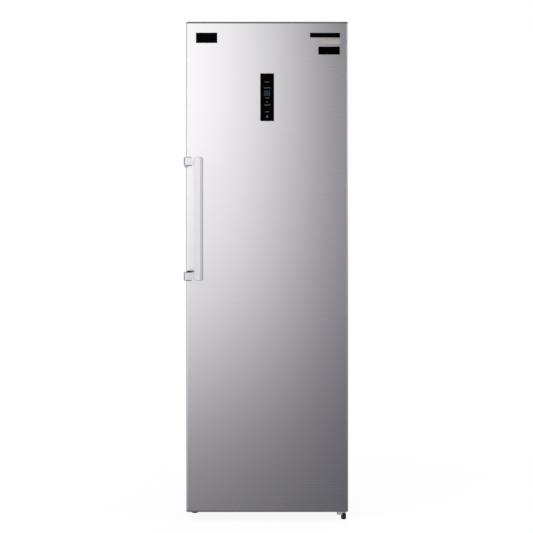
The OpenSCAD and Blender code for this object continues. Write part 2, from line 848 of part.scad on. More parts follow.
module tray_outline(inset) {
    half_x = tray_half_w - inset;
    half_y = tray_half_d - inset;
    r = tray_r - inset;
    translate([comp_x, comp_y]) rounded(-half_x, half_x, -half_y, half_y, [r, r, r, r]);
}

// Grommet in the base's rear lip, with the way through for the cord
module cord_gland() {
    lip = 3;
    cord_r = 4;
    color("#222222") difference() {
        union() {
            rod_y(gland_x, cab_y1 - base_t, cab_y1, gland_z, gland_r);
            rod_y(gland_x, cab_y1, cab_y1 + lip, gland_z, gland_r + lip);
            rod_y(gland_x, cab_y1 - base_t - lip, cab_y1 - base_t, gland_z, gland_r + lip);
        }
        rod_y(gland_x, cab_y1 - base_t - lip - 1, cab_y1 + lip + 1, gland_z, cord_r);
    }
}

// Condenser on the rear: one tube bent to and fro, with wires along both of its sides
tube_z0 = mach_z + 74;
weld_gap = 0.1;
run_x = wire_count * wire_pitch / 2 - 6;
bend_r = tube_pitch / 2;

// A half ring of tube that joins two neighbouring runs
module tube_bend(side, z) {
    translate([side * run_x, coil_y, z + bend_r]) rotate([90, 0, 0])
        rotate([0, 0, side > 0 ? -90 : 90]) rotate_extrude(angle = 180)
            translate([bend_r, 0]) circle(tube_r, $fn = 24);
}

module condenser_coil() {
    color("#26262a") for (i = [0:tube_runs - 1]) {
        rod_x(-run_x, run_x, coil_y, tube_z0 + i * tube_pitch, tube_r, $fn = 24);
        if (i < tube_runs - 1) tube_bend(i % 2 == 0 ? 1 : -1, tube_z0 + i * tube_pitch);
    }
}

// Tubes between the compressor and the condenser's two ends, with the filter drier in the lower one
riser_x = run_x + bend_r + 14;
liquid_x = run_x + 18;
line_bend = 12;
stub_x = comp_x - comp_r - 10;
discharge_z = comp_z + 100;
suction_z = comp_z + 60;
drier_y = cab_y1 - 26;
drier_z1 = mach_z - 50;
capillary_r = 1.2;
module condenser_lines() {
    top_z = tube_z0 + (tube_runs - 1) * tube_pitch;
    liquid_z = drier_z1 + 20;
    color("#b87348") {
        tube_path([
            [-run_x, coil_y, top_z],
            [-riser_x, coil_y, top_z],
            [-riser_x, coil_y, discharge_z],
            [-riser_x, comp_y, discharge_z],
            [stub_x, comp_y, discharge_z]
        ], tube_r, line_bend);
        tube_path([
            [-run_x, coil_y, tube_z0],
            [-liquid_x, coil_y, tube_z0],
            [-liquid_x, coil_y, liquid_z],
            [-liquid_x, drier_y, liquid_z],
            [-liquid_x, drier_y, drier_z1]
        ], tube_r, line_bend);
        filter_drier();
    }
}

// Filter drier: a stout copper tube necked down at both ends, and the thin capillary that leaves it
module filter_drier() {
    neck_r = tube_r + 1;
    neck = 8;
    z0 = drier_z1 - drier_len;
    translate([-liquid_x, drier_y, z0]) rotate_extrude() polygon([
        [0, 0], [neck_r, 0], [neck_r, neck], [drier_r, 2 * neck], [drier_r, drier_len - 2 * neck],
        [neck_r, drier_len - neck], [neck_r, drier_len], [0, drier_len]
    ]);
    tube_path([
        [-liquid_x, drier_y, z0],
        [-liquid_x, drier_y, z0 - 2 * neck],
        [-liquid_x + 28, drier_y, z0 - 2 * neck],
        [-liquid_x + 28, drier_y, mach_z - shell_t]
    ], capillary_r, neck - 1);
}

wire_over = 14;
module condenser_wires() {
    z0 = tube_z0 - wire_over;
    z1 = tube_z0 + (tube_runs - 1) * tube_pitch + wire_over;
    off = tube_r + wire_r + weld_gap;
    color("#26262a") for (i = [0:wire_count - 1], side = [-1, 1]) {
        x = (i - (wire_count - 1) / 2) * wire_pitch;
        translate([x, coil_y + side * off, z0]) cylinder(r = wire_r, h = z1 - z0, $fn = 16);
    }
}

// Clips that hold the condenser's runs off the rear sheet
clip_rows = [2, tube_runs / 2, tube_runs - 3];
clip_w = 8;
clip_h = 14;
clip_wall = 2;
clip_wires = 10;
module condenser_clips() {
    y1 = coil_y + tube_r + clip_wall;
    color("#333333") for (row = clip_rows, side = [-1, 1]) {
        x = side * wire_pitch * clip_wires;
        z = tube_z0 + row * tube_pitch;
        difference() {
            span(x - clip_w / 2, x + clip_w / 2, cab_y1, y1, z - clip_h / 2, z + clip_h / 2);
            rod_x(x - clip_w, x + clip_w, coil_y, z, tube_r + pin_clear);
        }
    }
}

// Evaporator behind the duct cover: tube runs through a stack of fins
evap_x = 170;
evap_z = step_z + 36;
evap_runs = 6;
evap_pitch = 28;
evap_y = cav_y1 - 22;
evap_r = 4;
suction_x = evap_x + 16;
tube_clear = 0.5;
fin_count = 16;
fin_t = 0.6;
fin_margin = 15;
fin_front = 18;

// Evaporator tube, whose lower end leaves the cavity as the suction tube to the compressor
module evaporator_coil() {
    color("silver") {
        for (i = [0:evap_runs - 1]) {
            z = evap_z + i * evap_pitch;
            rod_x(-evap_x, evap_x, evap_y, z, evap_r);
            if (i < evap_runs - 1) {
                side = i % 2 == 0 ? 1 : -1;
                translate([side * evap_x, evap_y, z + evap_pitch / 2]) rotate([90, 0, 0])
                    rotate([0, 0, side > 0 ? -90 : 90]) rotate_extrude(angle = 180)
                        translate([evap_pitch / 2, 0]) circle(evap_r, $fn = 24);
            }
        }
        tube_path([
            [-evap_x, evap_y, evap_z],
            [-suction_x, evap_y, evap_z],
            [-suction_x, evap_y, suction_z],
            [stub_x, evap_y, suction_z]
        ], evap_r, line_bend);
    }
}

module evaporator_fins() {
    fin_z0 = evap_z - fin_margin;
    fin_z1 = evap_z + (evap_runs - 1) * evap_pitch + fin_margin;
    color("gainsboro") for (i = [0:fin_count - 1]) {
        x = (i - (fin_count - 1) / 2) * 2 * evap_x / fin_count;
        difference() {
            span(x - fin_t / 2, x + fin_t / 2, evap_y - fin_front, cav_y1, fin_z0, fin_z1);
            for (k = [0:evap_runs - 1]) rod_x(x - 1, x + 1, evap_y, evap_z + k * evap_pitch, evap_r);
        }
    }
}

// Evaporator fan: a motor on the rear liner and a five-bladed wheel on its shaft
fan_above = 20;
fan_z = evap_z + evap_runs * evap_pitch + fan_r + fan_above;
fan_shaft_r = 3;
fan_y0 = duct_y0 + 6;
fan_t = 12;
motor_r = 24;
motor_plate_t = 4;
module fan_motor() {
    color("dimgray") {
        rod_y(0, fan_y0 + fan_t + 3, cav_y1 - motor_plate_t, fan_z, motor_r);
        rod_y(0, fan_y0 + 1, fan_y0 + fan_t + 3, fan_z, fan_shaft_r);
        plate = motor_r + 8;
        span(-plate, plate, cav_y1 - motor_plate_t, cav_y1, fan_z - plate, fan_z + plate);
    }
}

module fan_blade() {
    blades = 5;
    blade_w = 26;
    blade_t = 1.6;
    blade_tilt = 32;
    hub_r = 16;
    color("white") translate([0, fan_y0, fan_z]) rotate([-90, 0, 0]) difference() {
        union() {
            cylinder(r = hub_r, h = fan_t);
            intersection() {
                cylinder(r = fan_r, h = fan_t);
                for (i = [0:blades - 1]) rotate(i * 360 / blades)
                    translate([0, 0, fan_t / 2]) rotate([blade_tilt, 0, 0])
                        translate([0, -blade_w / 2, -blade_t / 2]) cube([fan_r, blade_w, blade_t]);
            }
        }
        cylinder(r = fan_shaft_r + pin_clear, h = 3 * fan_t, center = true);
    }
}

// Slots for the air in front of the fan: rings cut through by straight spokes
grille_rings = 4;
grille_slot = 5;
grille_pitch = 10;
grille_hub_r = 9;
spoke_w = 4;
module fan_grille(y0, y1) {
    difference() {
        for (k = [0:grille_rings - 1]) {
            r = grille_hub_r + grille_slot + k * grille_pitch;
            difference() {
                rod_y(0, y0, y1, fan_z, r);
                rod_y(0, y0 - 1, y1 + 1, fan_z, r - grille_slot);
            }
        }
        for (a = [0:60:120]) translate([0, 0, fan_z]) rotate([0, a, 0])
            span(-spoke_w / 2, spoke_w / 2, y0 - 2, y1 + 2, -fan_r, fan_r);
    }
}

// Cover of the air duct, with side walls, a top and slots that let the cold air out
duct_side = 40;
duct_x = cav_x - duct_side;
duct_t = 2.5;
duct_r = 10;
duct_top_gap = 30;
slot_w = 70;
slot_h = 7;
slot_r = 3;
slot_pitch = 14;
slot_apart = 48;
module duct_cover() {
    duct_z0 = step_z + 3;
    duct_z1 = cav_z1 - duct_top_gap;
    r = duct_r - duct_t;
    color("white") difference() {
        plan_prism(duct_z0, duct_z1) rounded(-duct_x, duct_x, duct_y0, cav_y1, [duct_r, duct_r, 0, 0]);
        plan_prism(duct_z0 - 1, duct_z1 - duct_t)
            rounded(-duct_x + duct_t, duct_x - duct_t, duct_y0 + duct_t, cav_y1 + 1, [r, r, 0, 0]);
        for (row = vent_z, k = [0:2], side = [-1, 1]) {
            x = side * (slot_w + slot_apart) / 2;
            z = row + k * slot_pitch;
            front_prism(duct_y0 - 1, duct_y0 + duct_t + 1)
                rounded(x - slot_w / 2, x + slot_w / 2, z, z + slot_h, [slot_r, slot_r, slot_r, slot_r]);
        }
        fan_grille(duct_y0 - 1, duct_y0 + duct_t + 1);
    }
}
vent_above = 60;
vent_z = [for (i = [2:len(shelf_z) - 1]) cav_z0 + shelf_z[i] + vent_above];

light_half = 80;
light_back = 90;
light_w = 34;
light_t = 10;
module light_strip() {
    y0 = cab_y0 + light_back;
    color("ghostwhite") span(-light_half, light_half, y0, y0 + light_w, cav_z1 - light_t, cav_z1);
}

// Tempered glass shelves, resting on the liner's ledges
module shelf_glass(i) {
    z = cav_z0 + shelf_z[i];
    color([0.75, 0.88, 0.88, 0.45]) span(-shelf_x, shelf_x, shelf_y0(i) + 3, glass_y1, z, z + glass_t);
}

module shelf_glass_1() shelf_glass(0);
module shelf_glass_2() shelf_glass(1);
module shelf_glass_3() shelf_glass(2);
module shelf_glass_4() shelf_glass(3);
module shelf_glass_5() shelf_glass(4);
module shelf_glass_6() shelf_glass(5);

// Plastic rims with a rounded nose that grip the front edge of each glass shelf
rim_d = 17;
rim_wall = 2;
rim_nose = 4;
rim_nose_r = 5;
module shelf_rims() {
    rim_x = cav_x - ledge_w - 1;
    color("white") for (i = [0:len(shelf_z) - 1]) {
        z = cav_z0 + shelf_z[i];
        z1 = z + glass_t + rim_wall;
        y0 = shelf_y0(i) - 1;
        difference() {
            side_prism(-rim_x, rim_x)
                rounded(y0, y0 + rim_d, z1 - rim_h, z1, [rim_nose_r, 0, 1, rim_nose_r]);
            span(-rim_x - 1, rim_x + 1, y0 + rim_nose, y0 + rim_d + 1, z, z + glass_t);
            span(-rim_x - 1, rim_x + 1, y0 + rim_nose, y0 + rim_d + 1, z - rim_h, z - rim_wall - 1);
        }
    }
}

// Freezer drawer: a clear tub with rounded rear corners and lips along its sides
module drawer_tub(i) {
    z0 = drawer_z[i] + 3;
    z1 = drawer_z[i] + drawer_h - tub_drop;
    y0 = drawer_y0 + front_t;
    y1 = drawer_y1[i];
    r = tub_r - drawer_wall;
    color([0.8, 0.9, 0.95, 0.5]) difference() {
        union() {
            plan_prism(z0, z1) rounded(-tub_x, tub_x, y0, y1, [0, 0, tub_r, tub_r]);
            plan_prism(z1 - lip_t, z1) rounded(-drawer_x, drawer_x, y0, y1, [0, 0, tub_r, tub_r]);
        }
        plan_prism(z0 + drawer_wall, z1 + 1) rounded(-tub_x + drawer_wall, tub_x - drawer_wall,
            y0 + drawer_wall, y1 - drawer_wall, [r, r, r, r]);
    }
}

module drawer_tub_1() drawer_tub(0);
module drawer_tub_2() drawer_tub(1);
module drawer_tub_3() drawer_tub(2);

// Front of a drawer with rounded corners, a framed field and a recess for the fingers
front_r = 8;
front_frame = 12;
field_r = 6;
grip_h = 26;
grip_wall = 3;
module drawer_front(i) {
    z0 = drawer_z[i];
    z1 = z0 + drawer_h;
    grip_z1 = z1 - front_frame;
    grip_z0 = grip_z1 - grip_h;
    field_x = drawer_x - front_frame;
    color([0.9, 0.95, 0.97, 0.7]) difference() {
        front_prism(drawer_y0, drawer_y0 + front_t)
            rounded(-drawer_x, drawer_x, z0, z1, [front_r, front_r, front_r, front_r]);
        front_prism(drawer_y0 - 1, drawer_y0 + front_t - grip_wall)
            rounded(-grip_x, grip_x, grip_z0, grip_z1, [12, 12, 4, 4]);
        front_prism(drawer_y0 - 1, drawer_y0 + 2)
            rounded(-field_x, field_x, z0 + front_frame, grip_z0 - front_frame,
                [field_r, field_r, field_r, field_r]);
    }
}

module drawer_front_1() drawer_front(0);
module drawer_front_2() drawer_front(1);
module drawer_front_3() drawer_front(2);

// Section of a moulded ridge, smaller by an inset, standing on the line y = y0
module ridge_section(inset, y0) {
    r = ridge_r - inset;
    rounded(inset, ridge_w - inset, y0, ridge_h - inset, [0, 0, r, r]);
}

// Ring of ridges on the door's liner: the section run along four sides and round four turns
module ridge_ring(inset, y0) {
    x1 = ridge_x - ridge_turn;
    z0 = ridge_z0 + ridge_turn;
    z1 = ridge_z1 - ridge_turn;
    inner_r = ridge_turn - ridge_w;
    translate([0, door_y1, 0]) {
        both_sides() {
            translate([ridge_x - ridge_w, 0, z0]) linear_extrude(z1 - z0) ridge_section(inset, y0);
            multmatrix(axes_at([x1, 0, z1], [0, 0, 1], [0, 1, 0]))
                rotate_extrude(angle = 90) translate([inner_r, 0]) ridge_section(inset, y0);
            multmatrix(axes_at([x1, 0, z0], [1, 0, 0], [0, 1, 0]))
                rotate_extrude(angle = 90) translate([inner_r, 0]) ridge_section(inset, y0);
        }
        for (z = [ridge_z0, ridge_z1 - ridge_w]) multmatrix(axes_at([x1, 0, z], [0, 0, 1], [-1, 0, 0]))
            linear_extrude(2 * x1) ridge_section(inset, y0);
    }
}

// Hollow ridges with the lugs that carry the bins
module door_ridges() {
    color("white") {
        difference() {
            ridge_ring(0, 0);
            ridge_ring(liner_t, -1);
        }
        both_sides() for (z = bin_z) {
            top = cav_z0 + z + bin_h - ear_drop;
            span(ridge_x - ridge_w - lug_w, ridge_x - ridge_w + 1, door_y1, door_y1 + lug_d,
                top - lug_h, top);
        }
    }
}

// Space taken out of the door for the display
module display_pocket() {
    span(-display_w / 2, display_w / 2, door_y0 - 1, door_y0 + display_t, display_z, display_z + display_h);
}

// Screws through the handle's brackets into the door's side
handle_screw_z = [
    for (z = [handle_z, handle_z + handle_len - bracket_h], s = [0.25, 0.75]) z + s * bracket_h
];
handle_screw_y = door_y0 + 22;
handle_screw_r = 2;
handle_screw_len = 18;
handle_head_r = 4;
handle_head_h = 2;

module handle_screw_holes() {
    for (z = handle_screw_z) {
        rod_x(-half_w - bracket_out - 1, -half_w + handle_screw_len, handle_screw_y, z, handle_screw_r);
    }
}

module handle_screws() {
    x0 = -half_w - bracket_out;
    color("silver") for (z = handle_screw_z) {
        rod_x(x0, x0 + handle_head_h, handle_screw_y, z, handle_head_r);
        rod_x(x0 + handle_head_h, -half_w + handle_screw_len, handle_screw_y, z, handle_screw_r);
    }
}

// Steel skin: front, sides and narrow lips turned in at the back
skin_lip = 12;
module door_skin() {
    inner = half_w - skin_t;
    color("#c9c8ce") difference() {
        door_slab(half_w, door_y0, core_y1, door_edge_r, skin_z0, skin_z1);
        door_slab(inner, door_y0 + skin_t, core_y1 - skin_t, door_edge_r - skin_t, skin_z0 - 1, skin_z1 + 1);
        span(-inner + skin_lip, inner - skin_lip, core_y1 - 2, core_y1 + 1, skin_z0 - 1, skin_z1 + 1);
        display_pocket();
        handle_screw_holes();
    }
}

// Plastic end cap of the door, with a sleeve for the hinge pin
module door_cap() {
    intersection() {
        door_slab(half_w, door_y0, door_y1, door_edge_r, 0, cap_h);
        translate([0, door_y1 + 1, 0]) rotate([90, 0, 0]) linear_extrude(door_t + 2) union() {
            translate([-half_w, -1]) square([2 * half_w, 1]);
            translate([-half_w, 0]) square([2 * half_w, 0.1]);
            translate([-half_w + cap_h, 0]) square([2 * half_w - 2 * cap_h, cap_h]);
            for (side = [-1, 1]) translate([side * (half_w - cap_h), 0]) circle(cap_h);
        }
    }
}

module door_cap_top() {
    color("#4a4a4e") difference() {
        union() {
            translate([0, 0, skin_z1]) door_cap();
            rod_z(hinge_x, hinge_y, door_z1 - boss_h, skin_z1, boss_r);
        }
        rod_z(hinge_x, hinge_y, door_z1 - boss_h - 1, door_z1 + 1, pin_r + pin_clear);
    }
}

module door_cap_bottom() {
    color("#4a4a4e") difference() {
        union() {
            translate([0, 0, skin_z0]) mirror([0, 0, 1]) door_cap();
            rod_z(hinge_x, hinge_y, skin_z0, door_z0 + boss_h, boss_r);
        }
        rod_z(hinge_x, hinge_y, door_z0 - 1, door_z0 + boss_h + 1, pin_r + pin_clear);
    }
}

// Foam that fills the door
module door_core() {
    inner = half_w - skin_t;
    color("khaki") difference() {
        union() {
            door_slab(inner, door_y0 + skin_t, core_y1 - skin_t, door_edge_r - skin_t, skin_z0, skin_z1);
            span(-inner + skin_lip, inner - skin_lip, core_y1 - 1, core_y1, skin_z0, skin_z1);
        }
        display_pocket();
        handle_screw_holes();
        rod_z(hinge_x, hinge_y, skin_z0 - 1, door_z0 + boss_h, boss_r);
        rod_z(hinge_x, hinge_y, door_z1 - boss_h, skin_z1 + 1, boss_r);
    }
}

// Flat sheet that closes the door's back
module door_liner() {
    sheet_x = half_w - 1;
    color("white") span(-sheet_x, sheet_x, core_y1, door_y1, skin_z0, skin_z1);
}

// Magnetic gasket: a foot on the liner and a softer bulb towards the cabinet
module door_gasket() {
    x1 = half_w - gasket_inset;
    z0 = door_z0 + gasket_inset;
    z1 = door_z1 - gasket_inset;
    y1 = cab_y0 - gasket_clear;
    bulb = (y1 - door_y1) / 2;
    color("whitesmoke") {
        gasket_ring(x1 - 3, z0 + 3, z1 - 3, gasket_w - 6, door_y1, y1 - bulb);
        gasket_ring(x1, z0, z1, gasket_w, y1 - bulb, y1);
    }
}

module gasket_ring(x1, z0, z1, w, y0, y1) {
    difference() {
        span(-x1, x1, y0, y1, z0, z1);
        span(-x1 + w, x1 - w, y0 - 1, y1 + 1, z0 + w, z1 - w);
    }
}

// Door bin: an open box with rounded corners, a thicker front rail and ears that rest on the lugs
module door_bin(i) {
    z0 = cav_z0 + bin_z[i];
    z1 = z0 + bin_h;
    ear_z = z1 - ear_drop;
    y1 = door_y1 + bin_d;
    r = bin_r - bin_wall;
    color([0.85, 0.93, 0.96, 0.6]) {
        difference() {
            union() {
                plan_prism(z0, z1) rounded(-bin_x, bin_x, door_y1, y1, [0, 0, bin_r, bin_r]);
                plan_prism(z1 - bin_rail_h, z1)
                    rounded(-bin_x, bin_x, y1 - bin_d / 2, y1 + bin_rail_t, [0, 0, bin_r, bin_r]);
            }
            plan_prism(z0 + bin_wall, z1 + 1)
                rounded(-bin_x + bin_wall, bin_x - bin_wall, door_y1 + bin_wall, y1 - bin_wall, [2, 2, r, r]);
        }
        both_sides() span(bin_x - 1, bin_x + lug_w, door_y1, door_y1 + ear_d, ear_z, ear_z + ear_h);
    }
}

module door_bin_1() door_bin(0);
module door_bin_2() door_bin(1);
module door_bin_3() door_bin(2);
module door_bin_4() door_bin(3);

// Handle: an upright bar in front of the door, carried by two brackets
bar_x0 = -half_w + bar_inset;
module handle_bar() {
    x1 = bar_x0 + bar_w;
    z1 = handle_z + handle_len;
    back_r = 4;
    near_r = 2.5;
    color("#bdbdc3") intersection() {
        plan_prism(handle_z, z1) rounded(bar_x0, x1, bar_y0, bar_y1, [near_r, bar_edge_r, back_r, back_r]);
        side_prism(bar_x0 - 1, x1 + 1) rounded(bar_y0, bar_y1, handle_z, z1, [near_r, 0, 0, near_r]);
        front_prism(bar_y0 - 1, bar_y1 + 1)
            rounded(bar_x0, x1, handle_z, z1, [bar_end_r, bar_end_r, bar_end_r, bar_end_r]);
    }
}

// Bracket: in plan it wraps from the door's side round to the bar, and it narrows to a neck at the bar
module handle_bracket(z0) {
    x0 = -half_w - bracket_out;
    z1 = z0 + bracket_h;
    wide_x = bar_x0 - neck_len;
    drop = (bracket_h - neck_h) / 2;
    corner = 5;
    inner_bend = 6;
    difference() {
        intersection() {
            plan_prism(z0, z1) {
                rounded(x0, bar_x0, bar_y0, bar_y1, [bracket_bend, 0, 0, 0]);
                rounded(x0, x0 + bracket_arm, bar_y0, door_y0, [bracket_bend, 0, 0, 0]);
                translate([x0, door_y0 - 1]) square([bracket_out, bracket_back + 1]);
                difference() {
                    translate([x0 + bracket_arm - 1, bar_y1 - 1]) square(inner_bend + 1);
                    translate([x0 + bracket_arm + inner_bend, bar_y1 + inner_bend]) circle(inner_bend);
                }
            }
            side_prism(x0 - 1, bar_x0 + 1) rounded(bar_y0, door_y0 + bracket_back, z0, z1,
                [bracket_edge_r, 0, 0, bracket_edge_r]);
            front_prism(bar_y0 - 1, door_y0 + bracket_back + 1) difference() {
                union() {
                    rounded(x0, wide_x, z0, z1, [corner, drop / 2, drop / 2, corner]);
                    translate([wide_x - corner, z0 + drop]) square([neck_len + corner + 1, neck_h]);
                    for (z = [z0 + drop / 2, z1 - drop]) {
                        translate([wide_x - 1, z]) square([drop / 2 + 1, drop / 2]);
                    }
                }
                for (z = [z0 + drop / 2, z1 - drop / 2]) translate([wide_x + drop / 2, z]) circle(drop / 2);
            }
        }
        for (z = handle_screw_z) {
            rod_x(x0 - 1, -half_w + 1, handle_screw_y, z, handle_screw_r);
            rod_x(x0 - 1, x0 + handle_head_h, handle_screw_y, z, handle_head_r);
        }
    }
}

module handle_bracket_top() {
    color("silver") handle_bracket(handle_z + handle_len - bracket_h);
}

module handle_bracket_bottom() {
    color("silver") handle_bracket(handle_z);
}

module display_panel() {
    color("#0b0c10") span(-display_w / 2, display_w / 2, door_y0 - display_proud, door_y0 + display_t,
        display_z, display_z + display_h);
}

side_panel_left();
side_panel_right();
top_panel();
back_panel();
base_plate();
insulation();
inner_liner();
hinge_top();
hinge_covers();
hinge_bottom();
hinge_screws();
roller_axles();
roller_left();
roller_right();
foot_left();
foot_right();
compressor();
compressor_mounts();
relay_box();
drip_tray();
condenser_coil();
condenser_lines();
condenser_wires();
condenser_clips();
evaporator_coil();
evaporator_fins();
fan_motor();
fan_blade();
duct_cover();
light_strip();
cord_gland();
shelf_glass_1();
shelf_glass_2();
shelf_glass_3();
shelf_glass_4();
shelf_glass_5();
shelf_glass_6();
shelf_rims();
drawer_tub_1();
drawer_tub_2();
drawer_tub_3();
drawer_front_1();
drawer_front_2();
drawer_front_3();
door_skin();
door_cap_top();
door_cap_bottom();
door_core();
door_liner();
door_ridges();
door_gasket();
door_bin_1();
door_bin_2();
door_bin_3();
door_bin_4();
handle_bar();
handle_bracket_top();
handle_bracket_bottom();
handle_screws();
display_panel();
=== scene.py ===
import json
import math

import bmesh
import bpy
from mathutils import Matrix, Vector

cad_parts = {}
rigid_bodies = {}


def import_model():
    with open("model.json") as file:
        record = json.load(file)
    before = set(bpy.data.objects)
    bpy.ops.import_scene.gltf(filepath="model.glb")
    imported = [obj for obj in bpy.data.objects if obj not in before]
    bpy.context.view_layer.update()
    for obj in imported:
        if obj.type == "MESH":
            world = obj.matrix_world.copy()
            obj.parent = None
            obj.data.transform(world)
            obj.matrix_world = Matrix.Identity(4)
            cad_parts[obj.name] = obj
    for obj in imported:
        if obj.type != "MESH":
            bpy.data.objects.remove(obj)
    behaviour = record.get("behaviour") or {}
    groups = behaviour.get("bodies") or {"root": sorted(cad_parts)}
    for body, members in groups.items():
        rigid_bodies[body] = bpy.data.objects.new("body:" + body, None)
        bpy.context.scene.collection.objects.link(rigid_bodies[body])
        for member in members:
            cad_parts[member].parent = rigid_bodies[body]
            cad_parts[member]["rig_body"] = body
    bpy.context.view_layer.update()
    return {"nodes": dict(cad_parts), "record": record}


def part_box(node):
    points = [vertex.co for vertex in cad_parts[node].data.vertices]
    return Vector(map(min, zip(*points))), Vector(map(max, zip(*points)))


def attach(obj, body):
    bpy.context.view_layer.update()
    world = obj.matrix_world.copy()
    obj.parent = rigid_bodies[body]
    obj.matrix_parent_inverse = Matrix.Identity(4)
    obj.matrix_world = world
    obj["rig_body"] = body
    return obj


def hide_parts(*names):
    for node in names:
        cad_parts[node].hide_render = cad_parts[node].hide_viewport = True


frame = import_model()
nodes = frame["nodes"]
mm = 0.001
print("frame loaded:", len(nodes), "nodes")


# A number or colour on its way through a material, so that sums are written as sums
class Wire:
    def __init__(self, owner, socket):
        self.owner = owner
        self.socket = socket

    def maths(self, operation, first, second):
        made = self.owner.node("ShaderNodeMath", {"operation": operation}, _0=first, _1=second)
        return self.owner.out(made)

    def __add__(self, other):
        return self.maths("ADD", self, other)

    def __radd__(self, other):
        return self.maths("ADD", other, self)

    def __sub__(self, other):
        return self.maths("SUBTRACT", self, other)

    def __rsub__(self, other):
        return self.maths("SUBTRACT", other, self)

    def __mul__(self, other):
        return self.maths("MULTIPLY", self, other)

    def __rmul__(self, other):
        return self.maths("MULTIPLY", other, self)

    def __pow__(self, other):
        return self.maths("POWER", self, other)

    def __rpow__(self, other):
        return self.maths("POWER", other, self)

    def clamp(self):
        return self.maths("MINIMUM", self.maths("MAXIMUM", self, 0.0), 1.0)


# A value that swings about its base; each source is a noise and the width of its swing
def vary(base, *sources):
    for noise, swing in sources:
        base = base + (noise - 0.5) * swing
    return base


# A node tree under construction, for a material or the world
class Tree:
    def __init__(self, user):
        user.use_nodes = True
        self.tree = user.node_tree

    # Links a wire to a socket, or sets a plain value on it
    def feed(self, socket, value):
        if isinstance(value, Wire):
            self.tree.links.new(value.socket, socket)
        else:
            socket.default_value = value

    # Settings are the node's own properties, or a ramp's stops; an input goes by its name, or by its
    # number written as _0
    def node(self, kind, settings=None, **inputs):
        made = self.tree.nodes.new(kind)
        for name, value in (settings or {}).items():
            if name == "stops":
                elements = made.color_ramp.elements
                while len(elements) < len(value):
                    elements.new(0.5)
                for element, (place, level) in zip(elements, value):
                    element.position = place
                    element.color = (level, level, level, 1.0)
            else:
                setattr(made, name, value)
        for name, value in inputs.items():
            place = int(name[1:]) if name[1:].isdigit() else name.replace("_", " ")
            self.feed(made.inputs[place], value)
        return made

    def out(self, made, name=0):
        return Wire(self, made.outputs[name])

    # 1 for rays from the camera, from a reflection or through glass, and 0 for plain light
    def seenRays(self):
        path = self.node("ShaderNodeLightPath")
        rays = [self.out(path, "Is " + kind + " Ray") for kind in ("Camera", "Glossy", "Transmission")]
        return (rays[0] + rays[1] + rays[2]).clamp()

    # A grey value that follows stops of (place, level)
    def ramp(self, factor, stops):
        return self.out(self.node("ShaderNodeValToRGB", {"stops": stops}, Fac=factor))


# A material under construction: one shader and the nodes that feed it
class Finish(Tree):
    def __init__(self, name, **sockets):
        self.material = bpy.data.materials.new(name)
        super().__init__(self.material)
        self.shader = self.tree.nodes["Principled BSDF"]
        for socket, value in sockets.items():
            self.set(socket.replace("_", " "), value)

    def set(self, socket, value):
        self.feed(self.shader.inputs[socket], value)

    # Makes another node than the shader the material's surface
    def surface(self, made):
        self.feed(self.tree.nodes["Material Output"].inputs["Surface"], self.out(made))

    # The piece's own coordinates, closer together the higher the scale
    def place(self, scale=(1, 1, 1)):
        coords = self.out(self.node("ShaderNodeTexCoord"), "Object")
        return self.out(self.node("ShaderNodeMapping", Vector=coords, Scale=scale))

    def axis(self, name):
        return self.out(self.node("ShaderNodeSeparateXYZ", Vector=self.place()), name)

    # Noise with about so many patches to the metre, and more of them along an axis with a high stretch
    def noise(self, scale, stretch=(1, 1, 1), detail=2.0, rough=0.55):
        made = self.node("ShaderNodeTexNoise", Vector=self.place(stretch), Scale=scale, Detail=detail,
                         Roughness=rough)
        return self.out(made, "Fac")

    def mixColour(self, factor, first, second):
        made = self.node("ShaderNodeMix", {"data_type": "RGBA"}, _0=factor, _6=(*first, 1.0),
                         _7=(*second, 1.0))
        return self.out(made, 2)

    # A colour that runs from a darker to a lighter shade of itself
    def tint(self, factor, colour, spread, socket="Base Color"):
        dark, light = [tuple(min(1.0, c * (1 + side * spread)) for c in colour) for side in (-1, 1)]
        self.set(socket, self.mixColour(factor, dark, light))

    def bump(self, height, strength, distance=0.2 * mm):
        made = self.node("ShaderNodeBump", Height=height, Strength=strength, Distance=distance)
        self.set("Normal", self.out(made))


# Brushed sheet metal: a fine grain, longer streaks and faint cloudy patches
def brushed(name, colour, roughness, fine, streaks, depth, spread, metallic=1.0):
    finish = Finish(name, Metallic=metallic)
    grain = finish.noise(1.0, fine, 4.0)
    streak = finish.noise(1.0, streaks, 5.0, 0.6)
    cloud = finish.noise(2.2)
    finish.tint(vary(0.5, (grain, 0.45), (streak, 0.2), (cloud, 0.2)).clamp(), colour, spread)
    finish.set("Roughness", vary(roughness, (streak, 0.003), (grain, 0.02), (cloud, 0.01)))
    finish.bump(grain, depth)
    return finish.material


# Bright turned or drawn metal, with a light haze of handling
def polished(name, colour, roughness, spread=0.05, scratches=260.0):
    finish = Finish(name, Metallic=1.0)
    haze = finish.noise(18.0, detail=4.0)
    fine = finish.noise(scratches, (1, 1, 4), 3.0)
    finish.tint(haze.clamp(), colour, spread)
    finish.set("Roughness", vary(roughness, (haze, 0.10), (fine, 0.06)))
    finish.bump(fine, 0.02)
    return finish.material


# Galvanised sheet: flat crystals of slightly different grey
def spangled(name, colour, roughness, cell, spread):
    finish = Finish(name, Metallic=1.0)
    cells = finish.node("ShaderNodeTexVoronoi", Vector=finish.place(), Scale=cell)
    crystal = finish.out(cells, "Color")      # one colour to a crystal, read below as a grey level
    fine = finish.noise(400.0)
    finish.tint(crystal, colour, spread)
    finish.set("Roughness", vary(roughness, (crystal, 0.14), (fine, 0.06)))
    finish.bump(fine, 0.05)
    return finish.material


